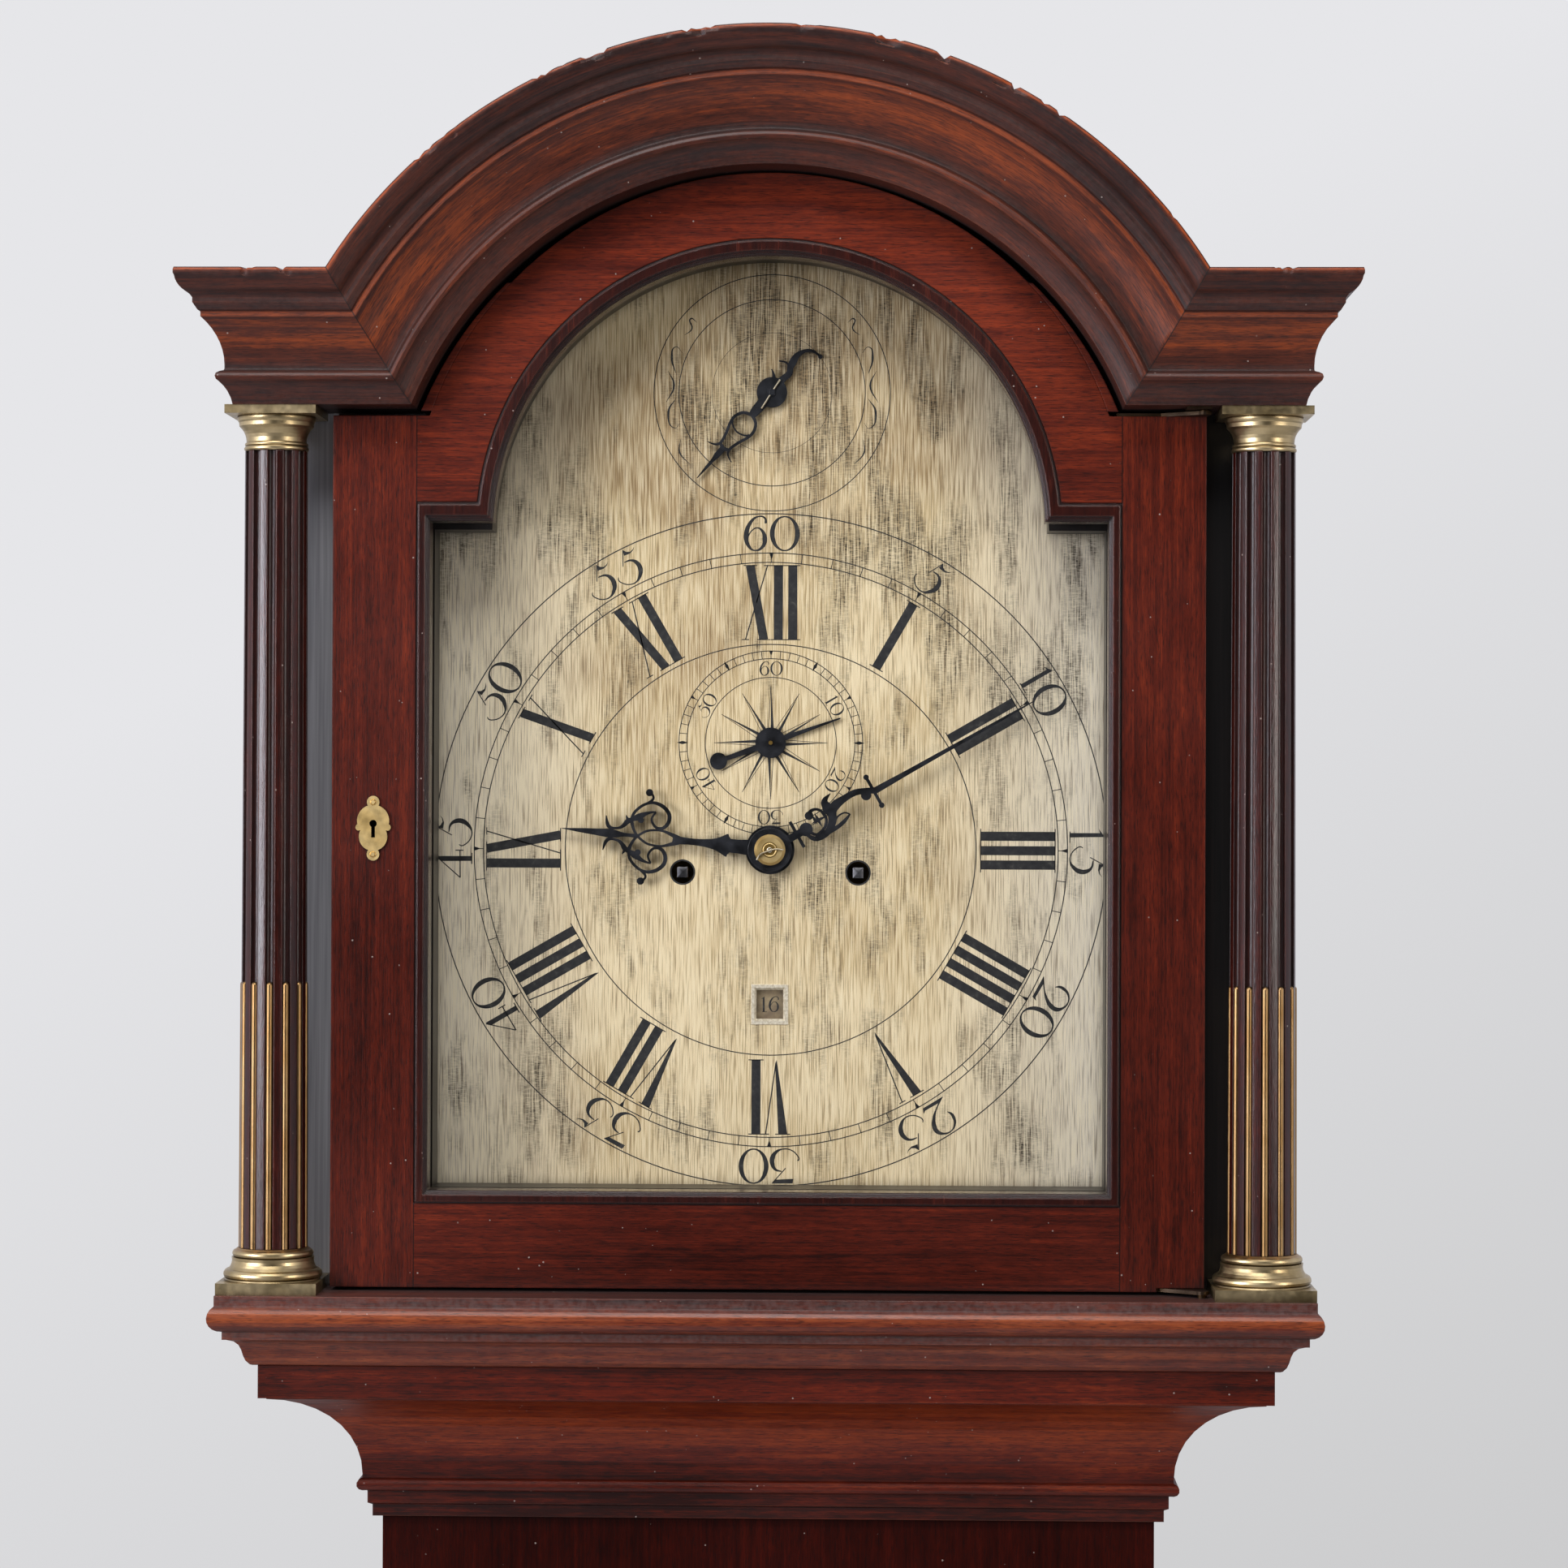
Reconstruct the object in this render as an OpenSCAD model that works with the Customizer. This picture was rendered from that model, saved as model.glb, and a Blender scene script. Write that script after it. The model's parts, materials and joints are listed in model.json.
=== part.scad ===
// Longcase clock with a break-arch hood: mahogany case, silvered dial and
// eight-day weight-driven movement with a seconds pendulum.
// +X is to the viewer's right, +Y to the back, +Z up, in millimetres.
// The origin is on the floor under the middle of the cornice.

/* [Heights] */
// Height of the skirting round the foot
plinth_h = 110; // [70:1:150]
// Height of the base box above the skirting
base_h = 410; // [300:1:480]
// Height of the moulding between base and trunk
base_moulding_h = 55; // [50:1:70]
// Height of the trunk between its two mouldings
trunk_h = 964; // [900:1:1050]
// Height of the hood columns with their capitals and bases
column_h = 379; // [373:1:390]
// Height of the dial's arch centre over the centre of the hands
arch_rise = 137; // [134:0.5:140]

/* [Case] */
// Depth of the clock from the cornice to the back
clock_depth = 251; // [249:1:262]
// Width of the trunk
trunk_w = 338; // [334:1:344]
// Width of the hood across its sides
hood_w = 430; // [428:1:440]
// Thickness of the case boards
board_t = 15; // [12:0.5:18]
// Thickness of the backboard
back_t = 12; // [10:0.5:15]
// Thickness of the hood sides
hood_side_t = 12; // [10:0.5:14]
// How far the base stands out from the trunk
base_step = 37; // [34:0.5:44]
// Thickness of the skirting boards
skirting_t = 10; // [8:0.5:14]
// Thickness of the seat board under the movement
seat_t = 18; // [14:0.5:22]

/* [Hood front] */
// Distance of the hood door's face in front of the dial
door_face = 45; // [44:0.5:48]
// Thickness of the hood door
door_t = 22; // [18:0.5:22]
// Width of the hood door
door_w = 374.8; // [372:0.2:376]
// Width of the hood door's stiles and bottom rail
door_stile = 36; // [32:0.5:40]
// Outer radius of the hood door's arch
door_arch_r = 154; // [150:0.5:154]
// Width of the glazing bead
bead_w = 5.4; // [4:0.2:7]
// Thickness of the glass
glass_t = 2; // [1.5:0.5:3]
// Inner radius of the arched cornice
cornice_arch_r = 156; // [156:0.5:160]
// Distance of the cornice's lower edge in front of the dial
cornice_face = 65; // [64:0.5:68]
// Spacing of the two hood columns, centre to centre
column_span = 424; // [422:0.5:428]
// Radius of a column at its foot
column_r = 14.3; // [13.8:0.1:15]
// Number of flutes on a column
flutes = 12; // [10:2:16]
// Width of the brass abacus and, with its spread, of the base plate
abacus_w = 39; // [37:0.5:40]

/* [Trunk door] */
// Width of the trunk door's opening
trunk_door_w = 222; // [200:1:230]
// Thickness of the trunk door's panel
trunk_door_t = 20; // [16:0.5:22]

/* [Dial and hands] */
// Width of the dial plate
dial_w = 304.8; // [300:0.2:308]
// Radius of the dial's arch
dial_arch_r = 128; // [124:0.5:130]
// Thickness of the dial plate
dial_t = 2; // [1.5:0.1:3]
// Length of the hour hand from its centre
hour_len = 92; // [86:0.5:96]
// Length of the minute hand from its centre
minute_len = 133; // [126:0.5:138]
// Length of the seconds hand from its centre
seconds_len = 33; // [30:0.5:35]
// Length of the strike and silent pointer
pointer_len = 50; // [44:0.5:54]
// Thickness of the steel hands
hand_t = 1.6; // [1.2:0.1:1.8]

/* [Movement] */
// Distance between the movement plates
plate_gap = 60; // [58:0.5:62]
// Thickness of a movement plate
plate_t = 2.5; // [2:0.1:3]
// Half the distance between the two winding arbors
barrel_x = 38.6; // [38.4:0.1:39]
// Radius of the gut line's centre round its barrel
barrel_r = 19; // [18:0.5:20]
// Radius of the gut line
line_r = 0.7; // [0.5:0.1:1]
// Radius of a lead weight
weight_r = 30; // [26:0.5:32]
// Height of a lead weight
weight_h = 205; // [160:1:230]
// Distance from the pendulum's pivot to the middle of its bob
pendulum_l = 994; // [900:1:1000]
// Radius of the pendulum bob
bob_r = 50; // [40:0.5:55]

/* [Clearances] */
// Gap round the doors, and between the hood and the trunk
door_gap = 1.5; // [1.2:0.1:2]
// Height of the gap over which the hood slides
hood_gap = 0.3; // [0.2:0.05:0.5]
// Radial running fit of arbors, pins and pipes
running_fit = 0.05; // [0.03:0.01:0.08]
// Gap round let-in plates, glass and locks
let_in_gap = 0.2; // [0.1:0.05:0.3]

/* [Hidden] */
$fn = 48;
reach = 900;
z_base_top = plinth_h + base_h;
z_trunk_foot = z_base_top + base_moulding_h;
z_trunk_top = z_trunk_foot + trunk_h;
throat_h = 71.5;
z_throat_top = z_trunk_top + throat_h;
z_hood = z_throat_top + hood_gap;
hood_base_h = 31;
z_floor = z_hood + hood_base_h;
z_dial = z_floor + column_h / 2;
z_cornice = z_floor + column_h;
z_arch = z_dial + arch_rise;
cornice_h = 56;
cornice_out = 21;
cornice_foot = 14;
y_back = clock_depth / 2;
y_dial = -y_back + cornice_face + cornice_out;
y_door = y_dial - door_face;
mask_t = 20;
y_mask = y_door + door_t + 1;
y_inside = y_back - back_t;
trunk_face = 5;
y_trunk = y_dial - trunk_face;
trunk_frame_t = 18;
throat_out = 48;
throat_cove_w = 43.5;
throat_cove_h = 38;
hood_base_w = column_span + 10;
hood_base_face = trunk_face + throat_out;
roof_r = cornice_arch_r + 50;
roof_t = 8;
roof_h = 50;
roof_half = hood_w / 2 + cornice_foot - 1;
column_y = y_dial - 44;
capital_h = 18.7;
foot_h = 18.4;
foot_w = abacus_w + 4;
shaft_h = column_h - capital_h - foot_h;
shaft_top_r = column_r * 0.94;
shaft_lean = atan((column_r - shaft_top_r) / shaft_h);
flute_r = 1.8;
flute_in = 0.5;
reed_r = 1.45;
y_plate = y_dial + 30;
y_rear_plate = y_plate + plate_t + plate_gap;
plate_drop = 62;
plate_rise = 95;
seat_z = z_dial - plate_drop;
plate_half = 64;
plate_top = z_dial + plate_rise;
opening_half = door_w / 2 - door_stile;
opening_low = z_floor + 1.5 + door_stile;
door_low = z_floor + 1.5;
door_shoulder = z_cornice - 3;
opening_shoulder = z_dial + 149.5;
opening_arch_r = 126;
hinge_x = door_w / 2 - 1.4;
hinge_y = y_door - 6.5;
hinge_pin_r = 2;
strap_t = 1.5;
strap_open = 18;
trunk_lip = 6;
trunk_lip_t = 5;
trunk_door_low = z_trunk_foot + 62;
trunk_door_high = z_trunk_top - 62;
trunk_door_arch_r = 78;
trunk_hinge_x = trunk_door_w / 2 + trunk_lip + 3.4;
trunk_hinge_y = y_trunk - 4.5;
trunk_hinge_r = 3;
hinge_h = 52;
wheel_m = 0.75;
great_m = 0.767;
third_x = 7.1;
third_z = 24.5;
escape_z = 47;
escape_r = 18.5;
pallet_z = escape_z + 26.6;
motion_z = -18;
strike_x = -45;
strike_z = 24.7;
hammer_x = -57;
hammer_z = 62;
arbor_r = 1.5;
pivot_r = 0.9;
pipe_r = 3.4;
hour_pipe_r = 5;
barrel_z = -10;
barrel_y0 = y_plate + plate_t + 15;
barrel_y1 = barrel_y0 + 30;
line_y = (barrel_y0 + barrel_y1) / 2;
line_in = barrel_x + barrel_r;
pulley_r = 22.5;
line_out = line_in + 2 * pulley_r;
weight_x = line_in + pulley_r;
weight_low = 330;
pulley_z = weight_low + weight_h + 45;
pendulum_y = y_rear_plate + plate_t + 14.5;
hour_at = 275.7;
minute_at = 60.4;
seconds_at = 70.4;
pointer_at = 221;
pointer_z = 201;
date_size = 13;
date_drop = 68;

// Points along an arc round c from angle a0 to a1
function arc(c, r, a0, a1, n = 8) =
    [for (i = [0:n]) c + r * [cos(a0 + (a1 - a0) * i / n), sin(a0 + (a1 - a0) * i / n)]];

// Angle of a wheel's first tooth where it meshes with another, which stands at (-dx, -dz) from it
function meshed(teeth, other_teeth, other_turn, dx, dz) =
    let (bearing = atan2(dx, dz))
    (0.5 - (bearing + other_turn) * other_teeth / 360) * 360 / teeth - bearing - 180;

// Profiles: distance out from the board behind, and height, from the bottom up
cornice_profile = concat([[0, 0]], arc([6, 1], 5.2, 180, 115, 4), arc([3.4, 11.4], 2.2, -70, 90, 5),
    [[2, 16.4]], arc([31, 16.4], 29, 180, 127, 7), [[15, 39.6], [15, 42], [16.2, 42.2]],
    arc([13, 52], 8, -60, 0, 5), [[21, cornice_h]]);
torus_profile = concat([[2, 0], [3, 0.4], [4.6, 2.2], [5.5, 4.4], [6.2, 7], [7.2, 9.2], [9, 10.9],
    [11.8, 11.9], [13.4, 12.1], [13.4, 15.5]], arc([13.2, 21.5], 6, -88, 58, 8),
    [[16.4, 27], [16.4, hood_base_h]]);
throat_profile = concat([[4, 0], [4, 5], [6, 6], [6, 11.8]], arc([7.5, 14.5], 2.9, -80, 80, 5),
    [[8, 17.6]], [for (i = [0:9]) [8 + throat_cove_w * (1 - cos(i * 9)), 19 + throat_cove_h * sin(i * 9)]],
    [[throat_out - 3, 57.3], [throat_out, 57.3], [throat_out, throat_h]]);
base_profile = concat([[base_step, 0]], arc([base_step, 8], 7.5, -80, 80, 8),
    [[base_step - 4, 16], [base_step - 4, 20]], arc([base_step - 4, 50], 30, 270, 187, 8),
    [[6, base_moulding_h - 5], [6, base_moulding_h], [0, base_moulding_h]]);
plinth_profile = concat([[skirting_t, 0], [skirting_t, plinth_h - 16]],
    arc([skirting_t + 1, plinth_h - 3], 9, 230, 180, 4), [[0, plinth_h]]);

// Extrusions along each axis, and from y0 to y1 for a shape seen from the front
module along_x(x0, x1) {
    translate([x0, 0, 0]) rotate([90, 0, 90]) linear_extrude(x1 - x0) children();
}

module along_y(y0, y1) {
    translate([0, y1, 0]) rotate([90, 0, 0]) linear_extrude(y1 - y0) children();
}

module block(x0, x1, y0, y1, z0, z1) {
    translate([x0, y0, z0]) cube([x1 - x0, y1 - y0, z1 - z0]);
}

// Round rod along Y
module rod_y(x, z, r, y0, y1) {
    translate([x, y1, z]) rotate([90, 0, 0]) cylinder(r = r, h = y1 - y0);
}

// Moulding across the front and back along both sides, mitred at the front corners
module moulding(profile, half, front, low) {
    high = profile[len(profile) - 1][1];
    n = len(profile);
    intersection() {
        along_x(-reach, reach)
            polygon(concat([[y_back, low]], [for (p = profile) [front - p[0], low + p[1]]],
                [[y_back, low + high]]));
        along_y(-reach, y_back)
            polygon(concat([for (p = profile) [half + p[0], low + p[1]]],
                [for (i = [n - 1:-1:0]) [-half - profile[i][0], low + profile[i][1]]]));
    }
}

// Rectangle with a round arch on its top, as the dial, mask and door have it
module arched(half, low, shoulder, arch_r, arch_z) {
    translate([-half, low]) square([2 * half, shoulder - low]);
    intersection() {
        translate([0, arch_z]) circle(r = arch_r, $fn = 96);
        translate([-arch_r, low]) square([2 * arch_r, reach]);
    }
}

// Spoked wheel with plain-sided teeth; turn sets the angle of the first tooth
module wheel(teeth, m, bore, turn = 0, spokes = 4, thin = 0.40) {
    pitch = teeth * m / 2;
    root = pitch - 1.15 * m;
    tip = pitch + 0.85 * m;
    rim = root - 3.4 * m;
    step = 360 / teeth;
    rotate(turn) difference() {
        polygon([for (i = [0:teeth - 1]) each [
            root * [sin(i * step - step * 0.27), cos(i * step - step * 0.27)],
            pitch * [sin(i * step - step * thin / 2), cos(i * step - step * thin / 2)],
            tip * [sin(i * step - step * 0.07), cos(i * step - step * 0.07)],
            tip * [sin(i * step + step * 0.07), cos(i * step + step * 0.07)],
            pitch * [sin(i * step + step * thin / 2), cos(i * step + step * thin / 2)],
            root * [sin(i * step + step * 0.27), cos(i * step + step * 0.27)]]]);
        difference() {
            circle(r = rim);
            circle(r = rim * 0.3);
            for (i = [0:spokes - 1]) rotate(i * 360 / spokes) translate([-1.2, 0]) square([2.4, rim + 1]);
        }
        circle(r = bore);
    }
}

// Pinion with a few narrow leaves
module pinion(leaves, m, turn = 0) {
    pitch = leaves * m / 2;
    root = pitch - 1.2 * m;
    tip = pitch + 0.6 * m;
    step = 360 / leaves;
    rotate(turn) union() {
        circle(r = root + 0.05, $fn = 24);
        for (i = [0:leaves - 1]) rotate(i * step)
            polygon([[-m * 0.42, 0], [-m * 0.42, pitch], [-m * 0.16, tip], [m * 0.16, tip],
                [m * 0.42, pitch], [m * 0.42, 0]]);
    }
}

// Arbor between the plates with its two pivots
module arbor(x, z, r = arbor_r) {
    rod_y(x, z, r, y_plate + plate_t + 0.3, y_rear_plate - 0.3);
    rod_y(x, z, pivot_r, y_plate, y_rear_plate + plate_t);
}

module plinth() {
    color("#4a1d14") difference() {
        moulding(plinth_profile, trunk_w / 2 + base_step, y_trunk - base_step, 0);
        block(-trunk_w / 2 - base_step, trunk_w / 2 + base_step, y_trunk - base_step, y_back + 1,
            -1, plinth_h + 1);
    }
}

module base_boards() {
    half = trunk_w / 2 + base_step;
    front = y_trunk - base_step;
    color("#5a2418") {
        difference() {
            block(-half, half, front, y_back, 0, z_base_top);
            block(-half + board_t, half - board_t, front + board_t, y_back + 1, -1, z_base_top + 1);
        }
        block(-half + board_t, half - board_t, front + board_t, y_inside, 20, 20 + board_t);
    }
}

module base_moulding() {
    inner = trunk_w / 2;
    color("#4a1d14") difference() {
        translate([0, 0, z_base_top]) moulding(base_profile, inner, y_trunk, 0);
        block(-inner, inner, y_trunk, y_back + 1, z_base_top - 1, z_trunk_foot + 1);
    }
}

module backboard() {
    ear = hood_w / 2 - hood_side_t - door_gap;
    half = trunk_w / 2;
    roof_in = roof_r - roof_t - door_gap;
    base_half = half + base_step - board_t;
    screw_z = z_dial - 140;
    color("#7a5a3c") difference() {
        along_y(y_inside, y_back) {
                translate([-base_half, 20]) square([2 * base_half, z_base_top - 20]);
                translate([-half, z_base_top]) square([2 * half, z_floor + 5 - z_base_top]);
                translate([-ear, z_floor + door_gap])
                    square([2 * ear, z_cornice + roof_h - roof_t - 2 * door_gap - z_floor]);
                intersection() {
                    translate([0, z_arch]) circle(r = roof_in, $fn = 96);
                    translate([-reach, z_cornice]) square([2 * reach, reach]);
                }
            }
        rod_y(0, screw_z, 3, y_inside - 1, y_back + 1);
    }
}

module trunk_sides() {
    half = trunk_w / 2;
    low = z_base_top - 40;
    color("#5a2418") for (side = [-1, 1]) scale([side, 1, 1]) {
        block(half - board_t, half, y_trunk + trunk_frame_t, y_inside, low, seat_z - seat_t);
    }
}

module trunk_opening(grow) {
    half = trunk_door_w / 2 + grow;
    arch_z = trunk_door_high - trunk_door_arch_r;
    arched(half, trunk_door_low - grow, arch_z + grow, trunk_door_arch_r + grow, arch_z);
}

module trunk_front_frame() {
    half = trunk_w / 2;
    color("#5a2418") difference() {
        block(-half, half, y_trunk, y_trunk + trunk_frame_t, z_base_top - 40, z_throat_top);
        along_y(y_trunk - 1, y_trunk + trunk_frame_t + 1) trunk_opening(0);
    }
}

module throat_moulding() {
    half = trunk_w / 2;
    color("#4a1d14") difference() {
        moulding(throat_profile, half, y_trunk, z_trunk_top);
        block(-half, half, y_trunk, y_back + 1, z_trunk_top - 1, z_throat_top + 1);
    }
}

module seat_board() {
    half = trunk_w / 2;
    hole = line_r + 1.5;
    color("#6b4a30") difference() {
        block(-half, half, y_trunk + trunk_frame_t + 2, y_rear_plate + plate_t + 4, seat_z - seat_t, seat_z);
        for (side = [-1, 1], x = [line_in, line_out]) {
            translate([side * x, line_y, seat_z - seat_t - 1]) cylinder(r = hole, h = seat_t + 2);
        }
    }
}

// Butt hinge of the trunk door: three knuckles on a pin, fixed leaf on the frame
module hinge_heights() {
    for (z = [trunk_door_low + 90, trunk_door_high - trunk_door_arch_r - 60]) translate([0, 0, z]) children();
}

module trunk_hinge_leaves() {
    color("#b08a3e") translate([trunk_hinge_x, trunk_hinge_y, 0]) hinge_heights() {
        cylinder(r = 1.2, h = hinge_h, center = true);
        for (z = [-hinge_h / 2, hinge_h / 2 - 17]) translate([0, 0, z]) {
            cylinder(r = trunk_hinge_r, h = 17);
            translate([0, 1.5, 0]) cube([20, 3, 17]);
        }
        translate([5, 1.5, -hinge_h / 2]) cube([15, 3, hinge_h]);
    }
}

module plate_holes(y) {
    holes = [[third_x, third_z], [0, escape_z], [0, pallet_z], [strike_x, strike_z], [hammer_x, hammer_z]];
    for (p = holes) rod_y(p[0], z_dial + p[1], pivot_r + running_fit, y - 1, y + plate_t + 1);
    for (side = [-1, 1]) rod_y(side * barrel_x, z_dial + barrel_z, 3.2 + running_fit, y - 1, y + plate_t + 1);
    rod_y(0, z_dial, 2 + running_fit, y - 1, y + plate_t + 1);
}

module front_plate() {
    color("#b8923f") difference() {
        block(-plate_half, plate_half, y_plate, y_plate + plate_t, seat_z, plate_top);
        plate_holes(y_plate);
    }
}

module back_plate() {
    color("#b8923f") difference() {
        block(-plate_half, plate_half, y_rear_plate, y_rear_plate + plate_t, seat_z, plate_top);
        plate_holes(y_rear_plate);
    }
}

module plate_pillars() {
    y0 = y_plate + plate_t;
    corners = [for (side = [-1, 1]) each [[side * 26, 8 - plate_drop], [side * 46, plate_rise - 8]]];
    color("#b8923f") for (p = corners) translate([p[0], y_rear_plate, z_dial + p[1]]) rotate([90, 0, 0])
        rotate_extrude() polygon(concat([[0, 0], [5.5, 0], [5.5, 4], [3.6, 6]],
            arc([3.6, plate_gap / 2], 2.6, -90, 90, 6), [[3.6, plate_gap - 6], [5.5, plate_gap - 4],
            [5.5, plate_gap], [0, plate_gap]]));
}

module movement_cocks() {
    y_rear = y_rear_plate + plate_t;
    z_pivot = z_dial + pallet_z;
    hour_y = y_plate - 8;
    color("#b8923f") {
        // Back cock: carries the pendulum's suspension and the pallet arbor's rear pivot
        difference() {
            union() {
                block(-16, 16, y_rear, y_rear + 3, z_pivot + 6, z_pivot + 21);
                block(-9, 9, y_rear, pendulum_y + 5, z_pivot + 14, z_pivot + 21);
            }
            block(-1.8, 1.8, pendulum_y - 4, pendulum_y + 6, z_pivot + 10, z_pivot + 30);
        }
        // Bridge in front of the plate that steadies the hour wheel's pipe
        difference() {
            union() {
                along_y(hour_y, hour_y + 1.6) translate([-24, z_dial - 5]) square([48, 14]);
                for (side = [-1, 1]) block(side * 21.5 - 2.5, side * 21.5 + 2.5, hour_y + 1.6, y_plate,
                    z_dial - 5, z_dial + 9);
            }
            rod_y(0, z_dial, pipe_r + 0.5, hour_y - 1, hour_y + 3);
        }
    }
}

module dial_plate() {
    winding_r = 5;
    color("#c9bfa6") {
        difference() {
            along_y(y_dial, y_dial + dial_t)
                arched(dial_w / 2, z_dial - dial_w / 2, z_dial + dial_w / 2, dial_arch_r, z_arch);
            rod_y(0, z_dial, hour_pipe_r + 0.5, y_dial - 1, y_dial + dial_t + 1);
            rod_y(0, z_dial + escape_z, 2, y_dial - 1, y_dial + dial_t + 1);
            rod_y(0, z_dial + pointer_z, 2 + running_fit, y_dial - 1, y_dial + dial_t + 1);
            for (side = [-1, 1]) rod_y(side * barrel_x, z_dial + barrel_z, winding_r,
                y_dial - 1, y_dial + dial_t + 1);
            // Square date opening with bevelled edges
            translate([0, y_dial, z_dial - date_drop]) rotate([-90, 0, 0]) {
                translate([0, 0, dial_t / 2]) cube([date_size, date_size, dial_t + 2], center = true);
                rotate(45) translate([0, 0, -0.01])
                    cylinder(r1 = (date_size + 3) / sqrt(2), r2 = date_size / sqrt(2), h = dial_t * 0.7, $fn = 4);
            }
        }
        for (side = [-1, 1]) {
            rod_y(side * 60, z_dial - 54, 2.5, y_dial + dial_t, y_plate);
            rod_y(side * 55, z_dial + 84, 2.5, y_dial + dial_t, y_plate);
        }
    }
}

module bell() {
    bell_z = plate_top + 22;
    bell_y = (y_plate + y_rear_plate) / 2;
    wall = 2.2;
    color("#a8863c") {
        translate([0, bell_y, bell_z]) rotate_extrude() polygon(concat(
            arc([0, -4], 46, 0, 84, 9), [[0, 42], [0, 42 - wall]],
            arc([0, -4], 46 - wall, 84, 0, 9)));
        // Standard: foot on the back plate, stem up through the crown of the bell
        translate([0, bell_y, bell_z + 42 - wall]) cylinder(r = 2.5, h = 10);
        translate([0, bell_y, bell_z + 42]) cylinder(r = 7, h = 3);
        block(-4, 4, bell_y - 2, y_rear_plate + plate_t + 3, bell_z + 48, bell_z + 51);
        block(-4, 32, y_rear_plate + plate_t, y_rear_plate + plate_t + 3, bell_z + 43, bell_z + 51);
        block(24, 32, y_rear_plate + plate_t, y_rear_plate + plate_t + 3, plate_top - 12, bell_z + 51);
    }
}

module line_leads() {
    color("#c8a870") for (side = [-1, 1]) {
        translate([side * line_in, line_y, seat_z]) cylinder(r = line_r, h = z_dial + barrel_z - seat_z, $fn = 16);
        translate([side * line_out, line_y, seat_z + 2.85]) sphere(r = 2.8, $fn = 24);
    }
}

module hood_base_frame() {
    half = hood_base_w / 2;
    inner = trunk_w / 2 + door_gap + 1;
    y_in = y_trunk + trunk_frame_t;
    color("#4a1d14") difference() {
        moulding(torus_profile, half, y_dial - hood_base_face, z_hood);
        block(-inner, inner, y_in - 8, y_back + 1, z_hood - 1, z_floor + 1);
        translate([hinge_x, hinge_y, z_floor - 8]) cylinder(r = hinge_pin_r + running_fit, h = 9);
    }
}

module hood_sides() {
    color("#5a2418") for (side = [-1, 1]) scale([side, 1, 1])
        block(hood_w / 2 - hood_side_t, hood_w / 2, y_mask + mask_t, y_back, z_floor,
            z_cornice + roof_h - roof_t);
}

// Outline of the hood's top: flat shoulders with the round roof between them
module roof_outline(inset) {
    translate([-roof_half + inset, z_cornice]) square([2 * (roof_half - inset), roof_h - inset]);
    intersection() {
        translate([0, z_arch]) circle(r = roof_r - inset, $fn = 96);
        translate([-reach, z_cornice]) square([2 * reach, reach]);
    }
}

module hood_front_frame() {
    color("#2c120d") difference() {
        along_y(y_mask, y_mask + mask_t) {
            translate([-hood_w / 2, z_floor]) square([hood_w, z_cornice - z_floor + roof_h - roof_t]);
            intersection() {
                roof_outline(roof_t);
                translate([-hood_w / 2, z_cornice]) square([hood_w, reach]);
            }
        }
        along_y(y_mask - 1, y_mask + mask_t + 1)
            arched(146, z_dial - 147, z_dial + 139, 121, z_arch);
    }
}

module hood_cornice() {
    foot = hood_w / 2 + cornice_foot;
    front = y_dial - cornice_face;
    tall = concat(cornice_profile, [[cornice_out, reach]]);
    color("#4a1d14") {
        // Front: straight wings mitred into the arch, cut out round the door's arch
        intersection() {
            moulding(tall, foot, front, z_cornice);
            translate([0, 0, z_arch]) rotate([90, 0, 0]) translate([0, 0, -y_mask])
                rotate_extrude($fn = 120) polygon(concat([[cornice_arch_r, 0]],
                    [for (p = tall) [cornice_arch_r + p[1], y_mask - front + p[0]]],
                    [[cornice_arch_r + reach, 0]]));
            along_y(-reach, y_mask) {
                translate([-reach, z_cornice]) square([2 * reach, cornice_h]);
                translate([0, z_arch]) circle(r = cornice_arch_r + cornice_h, $fn = 96);
            }
        }
        // Returns: planted on the hood sides
        for (side = [-1, 1]) intersection() {
            moulding(cornice_profile, foot, front, z_cornice);
            block(side > 0 ? hood_w / 2 : -reach, side > 0 ? reach : -hood_w / 2, y_mask, y_back,
                z_cornice, z_cornice + cornice_h);
        }
    }
}

module hood_roof() {
    color("#6b4a30") difference() {
        along_y(y_mask, y_back) difference() {
            roof_outline(0);
            roof_outline(roof_t);
            translate([-roof_half - 1, z_cornice - 1]) square([2 * roof_half + 2, roof_h - roof_t + 1]);
        }
        for (side = [-1, 1]) block(side > 0 ? hood_w / 2 : -reach, side > 0 ? reach : -hood_w / 2,
            y_mask - 1, y_back + 1, z_cornice - 1, z_cornice + roof_h + 1);
    }
}

module column_places() {
    for (side = [-1, 1]) translate([side * column_span / 2, column_y, z_floor]) children();
}

module hood_columns() {
    color("#3a1710") column_places() translate([0, 0, foot_h]) difference() {
        cylinder(r1 = column_r, r2 = shaft_top_r, h = shaft_h);
        for (i = [0:flutes - 1]) rotate(i * 360 / flutes) translate([column_r - flute_in, 0, 0])
            rotate([0, -shaft_lean, 0]) translate([0, 0, -5]) cylinder(r = flute_r, h = shaft_h + 10, $fn = 24);
    }
}

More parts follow.
